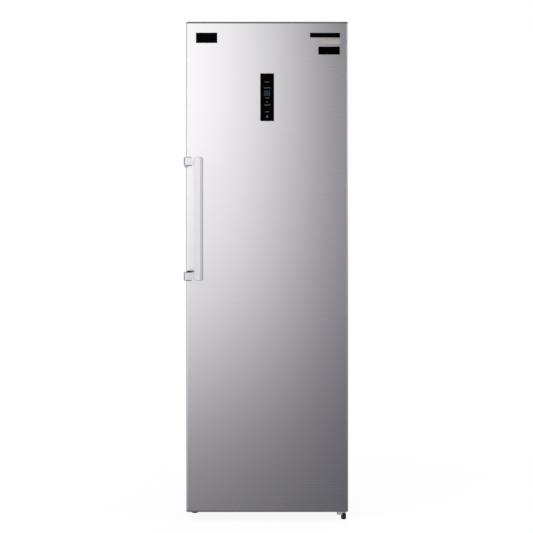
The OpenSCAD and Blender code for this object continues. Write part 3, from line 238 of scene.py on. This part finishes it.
# Drawn copper, browner and duller where it was brazed and handled
def tarnished(name, colour, brown, roughness, brownBelow=0.42, contrast=4.0, duller=0.22):
    finish = Finish(name, Metallic=1.0)
    patch = finish.noise(26.0, detail=5.0, rough=0.65)
    bare = ((patch - brownBelow) * contrast).clamp()
    finish.set("Base Color", finish.mixColour(bare, brown, colour))
    finish.set("Roughness", roughness + (1 - bare) * duller)
    finish.bump(patch, 0.05, 0.3 * mm)
    return finish.material


# Moulded plastic or paint: a fine skin over faint clouds of tone
def moulded(name, colour, roughness, grain=900.0, depth=0.08, spread=0.04, **more):
    finish = Finish(name, **more)
    fine = finish.noise(grain)
    cloud = finish.noise(5.0, detail=3.0)
    finish.tint(cloud.clamp(), colour, spread)
    finish.set("Roughness", vary(roughness, (fine, 0.10), (cloud, 0.08)))
    finish.bump(fine, depth)
    return finish.material


# Powder paint with an orange-peel skin, and dust that lies on what faces up
def painted(name, colour, roughness, dust=(0.30, 0.29, 0.28), amount=0.35, tilt=0.2, falloff=1.4,
            least=0.35, duller=0.4):
    finish = Finish(name)
    peel = finish.noise(420.0)
    cloud = finish.noise(9.0, detail=4.0)
    normal = finish.out(finish.node("ShaderNodeNewGeometry"), "Normal")
    facing = finish.out(finish.node("ShaderNodeSeparateXYZ", Vector=normal), "Z")
    cover = (((facing - tilt) * falloff).clamp() * (least + cloud) * amount).clamp()
    finish.set("Base Color", finish.mixColour(cover, colour, dust))
    finish.set("Roughness", vary(roughness + cover * duller, (peel, 0.10)))
    finish.bump(peel, 0.10, 0.3 * mm)
    return finish.material


# Clear or frosted sheet
def clearSheet(name, colour, alpha, roughness, spread=0.04):
    finish = Finish(name)
    cloud = finish.noise(4.0)
    finish.tint(cloud.clamp(), colour, spread)
    finish.set("Roughness", vary(roughness, (cloud, 0.05)))
    finish.set("Alpha", vary(alpha, (cloud, 0.04)))
    return finish.material


# Lit marks behind glass, a little uneven as small lamps are
def lit(name, colour, glow):
    finish = Finish(name, Roughness=0.5, Emission_Strength=1.0)
    cloud = finish.noise(160.0)
    finish.tint(cloud.clamp(), colour, 0.1)
    finish.tint(cloud.clamp(), glow, 0.25, "Emission Color")
    return finish.material


# The grain of the door and of its handle, stretched along X, Y and Z, and the skins that two finishes share
sheetGrain = dict(fine=(3, 20, 1500), streaks=(0.7, 9, 230), depth=0.0035, spread=0.013)
barGrain = dict(fine=(1200, 1200, 5), streaks=(160, 160, 3), depth=0.02, spread=0.016)
capSkin = dict(grain=1400, depth=0.12, spread=0.06)
platedSkin = dict(grain=500, depth=0.05, spread=0.06)
finishes = {
    "brushed_skin": brushed("brushedSkin", (0.600, 0.589, 0.590), 0.27, **sheetGrain),
    "side_steel": moulded("sidePaint", (0.46, 0.46, 0.475), 0.36, depth=0.02, spread=0.03, Metallic=0.55),
    "zinc_sheet": spangled("zincSheet", (0.56, 0.57, 0.58), 0.44, cell=120, spread=0.07),
    "foam": moulded("foam", (0.80, 0.70, 0.45), 0.85, grain=500, depth=0.3),
    "white_plastic": moulded("whitePlastic", (0.80, 0.81, 0.82), 0.26, grain=1200, depth=0.03),
    "plain_steel": polished("plainSteel", (0.60, 0.60, 0.61), 0.30),
    "plated_steel": moulded("platedSteel", (0.42, 0.42, 0.425), 0.36, **platedSkin, Metallic=0.35),
    # The lower hinge: the same plating as the upper one, much paler and less metallic as a painted
    # reflection of the white floor under the door
    "hinge_plating_painted_reflection": moulded("hingePlatingPaintedReflection", (0.80, 0.80, 0.81), 0.34, **platedSkin, Metallic=0.2),
    "dark_plastic": moulded("darkPlastic", (0.016, 0.016, 0.018), 0.44, grain=1400, depth=0.12,
                            spread=0.12, Specular_IOR_Level=0.35),
    "cap_grey": moulded("capGrey", (0.105, 0.104, 0.110), 0.45, **capSkin),
    # The lower cap: the same grey plastic as the upper one, made paler as painted light
    "cap_pale_painted_light": moulded("capPalePaintedLight", (0.137, 0.136, 0.142), 0.45, **capSkin),
    "black_paint": painted("blackPaint", (0.018, 0.018, 0.020), 0.34),
    "rubber": moulded("rubber", (0.022, 0.022, 0.022), 0.75, grain=1600, depth=0.15, spread=0.1),
    "gasket_rubber": moulded("gasketRubber", (0.50, 0.50, 0.51), 0.6, grain=1500),
    "aluminium": polished("aluminium", (0.56, 0.565, 0.57), 0.34),
    "copper": tarnished("copper", (0.80, 0.43, 0.28), (0.36, 0.19, 0.12), 0.26),
    "lamp_lens": moulded("lampLens", (0.90, 0.91, 0.92), 0.35, depth=0.03),
    "shelf_glass": clearSheet("shelfGlass", (0.74, 0.86, 0.83), 0.26, 0.05),
    "glass_edge": clearSheet("glassEdge", (0.22, 0.50, 0.42), 0.80, 0.12, spread=0.08),
    "clear_plastic": clearSheet("clearPlastic", (0.80, 0.86, 0.89), 0.42, 0.14),
    "satin_metal": brushed("satinMetal", (0.65, 0.645, 0.655), 0.38, **barGrain, metallic=0.6),
    "silver_metal": polished("silverMetal", (0.50, 0.50, 0.515), 0.18),
    "black_glass": moulded("blackGlass", (0.001, 0.001, 0.0012), 0.12, grain=60, depth=0.0, spread=0.2,
                           Specular_IOR_Level=0.008),
    "pale_film": moulded("paleFilm", (0.43, 0.39, 0.365), 0.30, grain=700, depth=0.03, spread=0.10),
    "label_grey": lit("labelGrey", (0.03, 0.03, 0.03), (0.068, 0.068, 0.070)),
    "figure_blue": lit("figureBlue", (0.006, 0.014, 0.02), (0.013, 0.036, 0.060)),
    "figure_white": lit("figureWhite", (0.03, 0.03, 0.035), (0.060, 0.070, 0.095)),
}
print("materials made:", len(finishes))

# Each node shows its slot's finish, but for the door's paler caps and the hinges' dull plating. The lower
# cap is a paler copy of the upper cap's grey, as painted light, and the lower hinge a much paler copy of
# the upper hinge's plating, as a painted reflection of the white floor
slotOf = {part["node"]: part["material_slot"] for part in frame["record"]["subparts"]}
finishOf = {**slotOf, "door_cap_top": "cap_grey", "door_cap_bottom": "cap_pale_painted_light",
            "hinge_top": "plated_steel", "hinge_bottom": "hinge_plating_painted_reflection"}
for name, node in nodes.items():
    node.data.materials.clear()
    node.data.materials.append(finishes[finishOf[name]])


# Smooth shading that stays sharp where faces meet at more than the angle
def shade(piece, angle):
    piece.data.polygons.foreach_set("use_smooth", [True] * len(piece.data.polygons))
    piece.data.set_sharp_from_angle(angle=math.radians(angle))
    piece.modifiers.new("weigh", "WEIGHTED_NORMAL").keep_sharp = True


def linked(name, data):
    made = bpy.data.objects.new(name, data)
    bpy.context.scene.collection.objects.link(made)
    return made


def meshObject(name, bm, material):
    mesh = bpy.data.meshes.new(name)
    bm.to_mesh(mesh)
    bm.free()
    mesh.materials.append(material)
    return linked(name, mesh)


def addPiece(name, bm, material, body, smoothBelow=32):
    piece = meshObject(name, bm, material)
    if smoothBelow:
        shade(piece, smoothBelow)
    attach(piece, body)
    return piece


def bevelEdges(bm, edges, width, segments):
    bmesh.ops.bevel(bm, geom=edges, offset=width, segments=segments, profile=0.5, affect="EDGES",
                    material=-1, clamp_overlap=True)


# A box between two corners; the verts come back so that it can be shaped further
def addBlock(bm, low, high):
    made = bmesh.ops.create_cube(bm, size=1.0)["verts"]
    bmesh.ops.scale(bm, vec=Vector(high) - Vector(low), verts=made)
    bmesh.ops.translate(bm, vec=(Vector(high) + Vector(low)) / 2, verts=made)
    return made


# Edges of these verts that run along one axis
def edgesAlong(verts, axis, nearly=0.99):
    chosen = []
    for edge in dict.fromkeys(edge for vert in verts for edge in vert.link_edges):
        run = (edge.verts[0].co - edge.verts[1].co).normalized()
        if abs(run[axis]) > nearly:
            chosen.append(edge)
    return chosen


# Outline of the flat face that lies at one place on an axis
def faceEdgesAt(bm, axis, place, tolerance=0.01 * mm):
    def lies(face):
        return all(abs(vert.co[axis] - place) < tolerance for vert in face.verts)

    flat = [face for face in bm.faces if lies(face)]
    return [edge for face in flat for edge in face.edges if not all(lies(f) for f in edge.link_faces)]


# A second finish on those faces of a piece that pass a test
def paintFaces(piece, finish, passes):
    piece.data.materials.append(finishes[finish])
    for face in piece.data.polygons:
        face.material_index = int(passes(face))


# How the copies of CAD nodes are made. Angles are in degrees: faces that meet at less than "flat" become
# one, edges over "corner" are worn, and shading is smooth below "smoothWorn" or "smoothPlain"
copying = {"weld": 0.002 * mm, "flat": 0.5, "corner": 28, "segments": 2,
           "smoothWorn": 50, "smoothPlain": 34}


# A CAD node's triangles as one closed mesh, with its flat faces whole again
def merged(name, s):
    bm = bmesh.new()
    bm.from_mesh(nodes[name].data)
    bmesh.ops.remove_doubles(bm, verts=bm.verts, dist=s["weld"])
    bmesh.ops.dissolve_limit(bm, angle_limit=math.radians(s["flat"]), verts=bm.verts, edges=bm.edges)
    return bm


# A copy that stands for a CAD node, shaded smooth, with its sharp edges worn round by the given width
def softened(name, width, s=copying):
    bm = merged(name, s)
    if width:
        corner = math.radians(s["corner"])
        sharp = [edge for edge in bm.edges if edge.is_manifold and edge.calc_face_angle(0) > corner]
        bevelEdges(bm, sharp, width, s["segments"])
        # A bevel may overshoot by a hair, so it is held to the node's box
        low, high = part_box(name)
        for vert in bm.verts:
            vert.co = [min(max(place, least), most) for place, least, most in zip(vert.co, low, high)]
    piece = addPiece(name + "Soft", bm, finishes[finishOf[name]], nodes[name]["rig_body"],
                     s["smoothWorn"] if width else s["smoothPlain"])
    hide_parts(name)
    return piece


# Width in mm to which the sharp edges of each CAD node's copy are worn; 0 only shades it smoothly
edgeWear = {
    0.25: ("hinge_top", "hinge_screws", "roller_axles", "handle_screws", "condenser_clips", "cord_gland",
           "fan_blade", "fan_motor"),
    0.4: ("side_panel_left", "side_panel_right", "top_panel", "base_plate", "hinge_bottom", "door_skin",
          "door_liner", "duct_cover", "compressor_mounts", "foot_left", "foot_right"),
    0.6: ("hinge_covers", "door_cap_top", "door_cap_bottom", "relay_box", "drip_tray", "roller_left",
          "roller_right", "handle_bar", "shelf_rims", "light_strip", "door_gasket", "door_bin_1",
          "door_bin_2", "door_bin_3", "door_bin_4"),
    0.9: ("drawer_tub_1", "drawer_tub_2", "drawer_tub_3", "drawer_front_1", "drawer_front_2",
          "drawer_front_3"),
    1.1: ("handle_bracket_top", "handle_bracket_bottom"),
    0: ("back_panel", "inner_liner", "compressor", "condenser_coil", "condenser_lines",
        "condenser_wires", "evaporator_coil", "door_ridges"),
}
copies = {name: softened(name, width * mm) for width, names in edgeWear.items() for name in names}
print("nodes softened:", len(copies))

# The door's brushed face shows no reflection of the handle, as in the photograph
for name in ("handle_bar", "handle_bracket_top", "handle_bracket_bottom"):
    copies[name].visible_glossy = False

# What faces up on the brackets is darker, as painted shade: a grey line on the upper one and a black one on
# the lower one. The number is the least upward part of a face's normal
bracketTopsPaintedShade = {"handle_bracket_top": ("cap_grey", 0.35), "handle_bracket_bottom": ("rubber", 0.2)}
for name, (finish, slope) in bracketTopsPaintedShade.items():
    paintFaces(copies[name], finish, lambda face: face.normal.z > slope)

# Glass shelves: ground edges show the green of the glass, and the flat faces stay clear
shelves = {"wear": 0.8 * mm, "flat": 0.9}


def buildShelves(s):
    names = sorted(name for name in nodes if name.startswith("shelf_glass"))
    for name in names:
        paintFaces(softened(name, s["wear"]), "glass_edge", lambda face: abs(face.normal.z) < s["flat"])
    print("shelves built:", len(names))


buildShelves(shelves)

# A thin black pad on the lower bracket, between its bend and the bar, in the rubber finish. It is painted
# shade: a dark piece set where the bracket's top only has a black line of shade
bracketShadePad = {"fromBend": 13 * mm, "thick": 4.2 * mm, "inset": 2.5 * mm, "edge": 0.8 * mm}


def buildBracketShadePad(s):
    low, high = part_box("handle_bracket_bottom")
    barLow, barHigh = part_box("handle_bar")
    front = barLow.y + s["inset"]
    bm = bmesh.new()
    verts = addBlock(bm, (low.x + s["fromBend"], front, high.z),
                     (barLow.x, barHigh.y - s["inset"], high.z + s["thick"]))
    bevelEdges(bm, edgesAlong(verts, 1) + faceEdgesAt(bm, 1, front), s["edge"], 2)
    # The pad is a dark piece of painted shade, not a part of the handle
    addPiece("bracketShadePad", bm, finishes["rubber"], "door")
    print("bracket pad built")


buildBracketShadePad(bracketShadePad)


# A thin plate that faces the front, with rounded corners and a softened front edge
def frontPlate(name, low, high, corner, edge, finish):
    bm = bmesh.new()
    verts = addBlock(bm, low, high)
    bevelEdges(bm, edgesAlong(verts, 1), corner, 4)
    bevelEdges(bm, faceEdgesAt(bm, 1, low[1]), edge, 2)
    return addPiece(name, bm, finishes[finish], "door")


# Bare plates on the door's front, and a thinner pale film between the two on the right. Each is placed
# from the door's left edge and from the floor, and may have its own value for what all plates share
allPlates = dict(thick=1.1 * mm, corner=1.5 * mm, edge=0.35 * mm, finish="black_glass", slot="black_glass")
plates = {
    "plateLeft": dict(fromLeft=36.5 * mm, width=78 * mm, low=1754.5 * mm, height=37.5 * mm),
    "plateRight": dict(fromLeft=454.6 * mm, width=110 * mm, low=1774.5 * mm, height=17 * mm),
    "plateLow": dict(fromLeft=485 * mm, width=79 * mm, low=1712 * mm, height=29 * mm),
    "plateMiddle": dict(fromLeft=486 * mm, width=78 * mm, low=1751 * mm, height=15 * mm,
                        thick=0.55 * mm, edge=0.175 * mm, finish="pale_film", slot="white_plastic"),
}
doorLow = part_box("door_skin")[0]


def buildPlates():
    for name, own in plates.items():
        s = {**allPlates, **own}
        left = doorLow.x + s["fromLeft"]
        frontPlate(name, (left, doorLow.y - s["thick"], s["low"]),
                   (left + s["width"], doorLow.y, s["low"] + s["height"]), s["corner"], s["edge"],
                   s["finish"])
    print("plates built:", len(plates))


buildPlates()

# The display: a black glass bar with rounded corners, and the marks that shine through it. The marks'
# places and sizes are in mm, x from the panel's middle and low from its foot
panelLow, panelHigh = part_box("display_panel")
display = {
    "corner": 3.0 * mm, "edge": 0.7 * mm,
    "proud": 0.12 * mm, "sunk": 0.2 * mm,      # how far a mark stands out of the glass and reaches into it
    # Short broken bars, one above the other: low, x, width and thickness
    "bars": ((143.2, -0.6, 17, 2.0), (121.8, 0.4, 23, 2.3), (84.8, 0.0, 14, 2.4), (59.0, 0.6, 22, 2.4),
             (34.0, 0.0, 13, 2.4)),
    # The start and length of a bar's three pieces, as shares of its width
    "breaks": ((0.0, 0.24), (0.32, 0.36), (0.76, 0.24)),
    "lock": dict(x=0.0, low=12.4, width=6.0, height=4.8, ring=2.1, stroke=1.1, arm=3.2, bow=3.4),
    "digits": dict(x=-0.6, low=93.0, height=18.0, width=8.6, gap=2.6, stroke=1.7, notch=0.8),
    "flake": dict(x=-0.2, low=70.2, reach=3.4, stroke=0.8),
}


# A small flat mark, centred at x and up, and turned about its centre by an angle in degrees
def markBlock(bm, x, up, width, height, turn=0):
    centre = Vector(((panelLow.x + panelHigh.x) / 2 + x * mm, panelLow.y, panelLow.z + up * mm))
    half = Vector((width / 2 * mm, 0, height / 2 * mm))
    verts = addBlock(bm, centre - half - Vector((0, display["proud"], 0)),
                     centre + half + Vector((0, display["sunk"], 0)))
    if turn:
        bmesh.ops.rotate(bm, cent=centre, matrix=Matrix.Rotation(math.radians(turn), 3, "Y"), verts=verts)


def brokenBars(bm, bars, breaks):
    for low, x, width, thick in bars:
        for start, share in breaks:
            markBlock(bm, x + (start + share / 2 - 0.5) * width, low, share * width, thick)


# A padlock: its body, the two arms of its ring and the bow that joins them
def padlock(bm, x, low, width, height, ring, stroke, arm, bow):
    markBlock(bm, x, low + height / 2, width, height)
    for side in (-1, 1):
        markBlock(bm, x + side * ring, low + height + arm / 2, stroke, arm)
    markBlock(bm, x, low + height + bow, 2 * ring + stroke, stroke)


# Two figures of seven bars each, all lit
def figures(bm, x, low, height, width, gap, stroke, notch):
    across = width - stroke
    for side in (-1, 1):
        middle = x + side * (width + gap) / 2
        for level in (0, 0.5, 1):
            markBlock(bm, middle, low + stroke / 2 + level * (height - stroke), across - notch, stroke)
        for share in (0.25, 0.75):
            for edge in (-1, 1):
                markBlock(bm, middle + edge * across / 2, low + share * height, stroke, height / 2 - stroke)


# A plain flake: three strokes through one point
def flake(bm, x, low, reach, stroke):
    for turn in (30, 90, 150):
        markBlock(bm, x, low, 2 * reach, stroke, turn)


def buildDisplay(s):
    glass = frontPlate("displayGlass", panelLow, panelHigh, s["corner"], s["edge"], "black_glass")
    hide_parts("display_panel")
    labels, digits, cold = bmesh.new(), bmesh.new(), bmesh.new()
    brokenBars(labels, s["bars"], s["breaks"])
    padlock(labels, **s["lock"])
    figures(digits, **s["digits"])
    flake(cold, **s["flake"])
    marks = {
        "displayLabels": (labels, "label_grey"),
        "displayDigits": (digits, "figure_blue"),
        "displayFlake": (cold, "figure_white"),
    }
    for name, (bm, finish) in marks.items():
        addPiece(name, bm, finishes[finish], "door", smoothBelow=None)
    print("display built")


buildDisplay(display)

# Studio: a white floor that keeps a faint shadow of the object and runs out into the white world. To the
# camera the floor shines by itself ("own") and takes a little of the lamps' light ("shadow"), which gives
# way to plain white between "near" and "far"
stage = {"size": 9.0, "paint": (0.80, 0.80, 0.81), "rough": 0.9, "own": 0.90, "shadow": 0.115,
         "near": 1.1, "far": 2.6}


# A piece of the studio, left out of the given kinds of ray
def addStage(name, bm, finish, hiddenFrom):
    piece = meshObject(name, bm, finish.material)
    for kind in hiddenFrom:
        setattr(piece, "visible_" + kind, False)


def buildFloor(s):
    finish = Finish("floorPaint", Roughness=s["rough"], Base_Color=(*s["paint"], 1.0))
    along, across = finish.axis("X"), finish.axis("Y")
    distance = (along * along + across * across) ** 0.5
    away = ((distance - s["near"]) * (1 / (s["far"] - s["near"]))).clamp()
    matt = finish.node("ShaderNodeBsdfDiffuse", Color=(s["shadow"], s["shadow"], s["shadow"], 1.0))
    glow = finish.node("ShaderNodeEmission", Strength=s["own"])
    close = finish.node("ShaderNodeAddShader", _0=finish.out(matt), _1=finish.out(glow))
    distant = finish.node("ShaderNodeEmission", Strength=1.0)
    seen = finish.node("ShaderNodeMixShader", _0=away, _1=finish.out(close), _2=finish.out(distant))
    finish.surface(finish.node("ShaderNodeMixShader", _0=finish.seenRays(), _1=finish.out(finish.shader),
                               _2=finish.out(seen)))
    bm = bmesh.new()
    bmesh.ops.create_grid(bm, x_segments=1, y_segments=1, size=s["size"] / 2)
    addStage("floor", bm, finish, ("glossy",))


buildFloor(stage)

# White to the camera and to what reflects or looks through, and plain even light for everything else
worldLight = {"seen": 1.0, "light": 0.5}


def buildWorld(s):
    world = bpy.data.worlds.new("studio")
    bpy.context.scene.world = world
    sky = Tree(world)
    back = sky.tree.nodes["Background"]
    sky.feed(back.inputs["Color"], (1.0, 1.0, 1.0, 1.0))
    sky.feed(back.inputs["Strength"], sky.seenRays() * (s["seen"] - s["light"]) + s["light"])


buildWorld(worldLight)

# Shading cards round the object that only reflections see. Each glows in its "shade" by "level", which goes
# from the low edge to the high one. The front card has a lamp's glow as well, bright on the upper left and
# dark on the lower right, as it shows in the brushed door: "gain" times its share "across" from left to
# right and "up", where the bright part reaches lower by "lean" on the left of "leanFrom"
room = {"side": 2.6, "front": -1.9, "back": 3.4, "low": -1.6, "high": 4.4}
plainShade = (1.0, 0.985, 1.03, 1.0)
cards = {
    "frontCard": {
        "shade": (1.0, 0.98, 1.165, 1.0),
        "level": ((0.0, 0.14), (0.20, 0.145), (0.30, 0.172), (0.40, 0.235), (0.50, 0.225), (0.56, 0.20),
                  (0.64, 0.13), (0.8, 0.07)),
        "gain": 1.40,
        "across": ((0.0, 1.0), (0.44, 1.0), (0.53, 0.46), (0.58, 0.02), (0.66, 0.0), (0.72, 0.55),
                   (1.0, 0.6)),
        "up": ((0.0, 0.03), (0.20, 0.10), (0.27, 0.22), (0.35, 0.50), (0.45, 0.86), (0.56, 1.05),
               (0.69, 1.16), (0.79, 0.30), (1.0, 0.25)),
        "lean": 0.35, "leanFrom": 0.45,
    },
    "leftCard": {"level": ((0.0, 0.72), (1.0, 0.72))},
    "rightCard": {"level": ((0.0, 0.28), (0.36, 0.32), (0.43, 0.42), (0.54, 1.0), (1.0, 1.0))},
    "upperCard": {"level": ((0.0, 0.30), (1.0, 0.30))},
    "lowerCard": {"level": ((0.0, 0.40), (1.0, 0.40))},
    "backCard": {"level": ((0.0, 0.45), (1.0, 0.60))},
}


def cardCorners(name, r):
    side, front, back, low, high = (r[key] for key in ("side", "front", "back", "low", "high"))
    if name in ("frontCard", "backCard"):
        y = front if name == "frontCard" else back
        return [(x, y, z) for x, z in ((-side, low), (side, low), (side, high), (-side, high))]
    if name in ("leftCard", "rightCard"):
        x = side if name == "rightCard" else -side
        return [(x, y, z) for y, z in ((front, low), (back, low), (back, high), (front, high))]
    z = high if name == "upperCard" else low
    return [(x, y, z) for x, y in ((-side, front), (side, front), (side, back), (-side, back))]


def buildCard(name, s, r):
    finish = Finish(name)
    up = (finish.axis("Z") - r["low"]) * (1 / (r["high"] - r["low"]))
    glow = finish.node("ShaderNodeEmission", Color=s.get("shade", plainShade),
                       Strength=finish.ramp(up, s["level"]))
    if "gain" in s:
        across = (finish.axis("X") + r["side"]) * (0.5 / r["side"])
        reach = up + (s["leanFrom"] - across).clamp() * s["lean"]
        strength = finish.ramp(reach, s["up"]) * finish.ramp(across, s["across"]) * s["gain"]
        lamp = finish.node("ShaderNodeEmission", Strength=strength)
        glow = finish.node("ShaderNodeAddShader", _0=finish.out(glow), _1=finish.out(lamp))
    finish.surface(glow)
    bm = bmesh.new()
    bm.faces.new([bm.verts.new(corner) for corner in cardCorners(name, r)])
    addStage(name, bm, finish, ("camera", "diffuse", "transmission", "volume_scatter", "shadow"))


for name, settings in cards.items():
    buildCard(name, settings, room)

# Soft boxes: place, what they aim at, width and height, and power
lights = {
    "leftBox": dict(place=(-2.4, -2.4, 2.4), aim=(0.0, 0.0, 0.9), size=(1.2, 2.2), watts=48),
    "topBox": dict(place=(0.2, -0.4, 4.7), aim=(0.0, 0.0, 1.0), size=(3.4, 3.4), watts=36),
    "rightBox": dict(place=(2.8, -1.6, 1.6), aim=(0.0, 0.0, 0.9), size=(1.2, 2.0), watts=18),
    "backBox": dict(place=(0.8, 3.0, 2.4), aim=(0.0, 0.0, 0.9), size=(3.6, 3.6), watts=40),
}


def areaLight(name, place, aim, size, watts):
    data = bpy.data.lights.new(name, "AREA")
    data.shape = "RECTANGLE"
    data.size, data.size_y = size
    data.energy = watts
    lamp = linked(name, data)
    lamp.location = place
    lamp.rotation_euler = (Vector(aim) - Vector(place)).to_track_quat("-Z", "Y").to_euler()
    lamp.visible_camera = False


for name, settings in lights.items():
    areaLight(name, **settings)
print("stage and lights set:", len(lights))

# Camera: level, at about half the object's height, as far from the door as the feet's places suggest
view = {"height": 0.935, "distance": 3.6, "pixelsPerMetre": 272.8, "image": 533, "sensor": 36.0,
        "centreX": -2.4 * mm, "farthest": 50}


def buildCamera(s):
    data = bpy.data.cameras.new("camera")
    data.sensor_width = s["sensor"]
    data.lens = s["pixelsPerMetre"] * s["distance"] * s["sensor"] / s["image"]
    data.clip_end = s["farthest"]
    camera = linked("camera", data)
    camera.location = (s["centreX"], doorLow.y - s["distance"], s["height"])
    camera.rotation_euler = (math.radians(90), 0, 0)
    bpy.context.scene.camera = camera
    print("camera set")


buildCamera(view)
bpy.context.scene.view_settings.view_transform = "Standard"
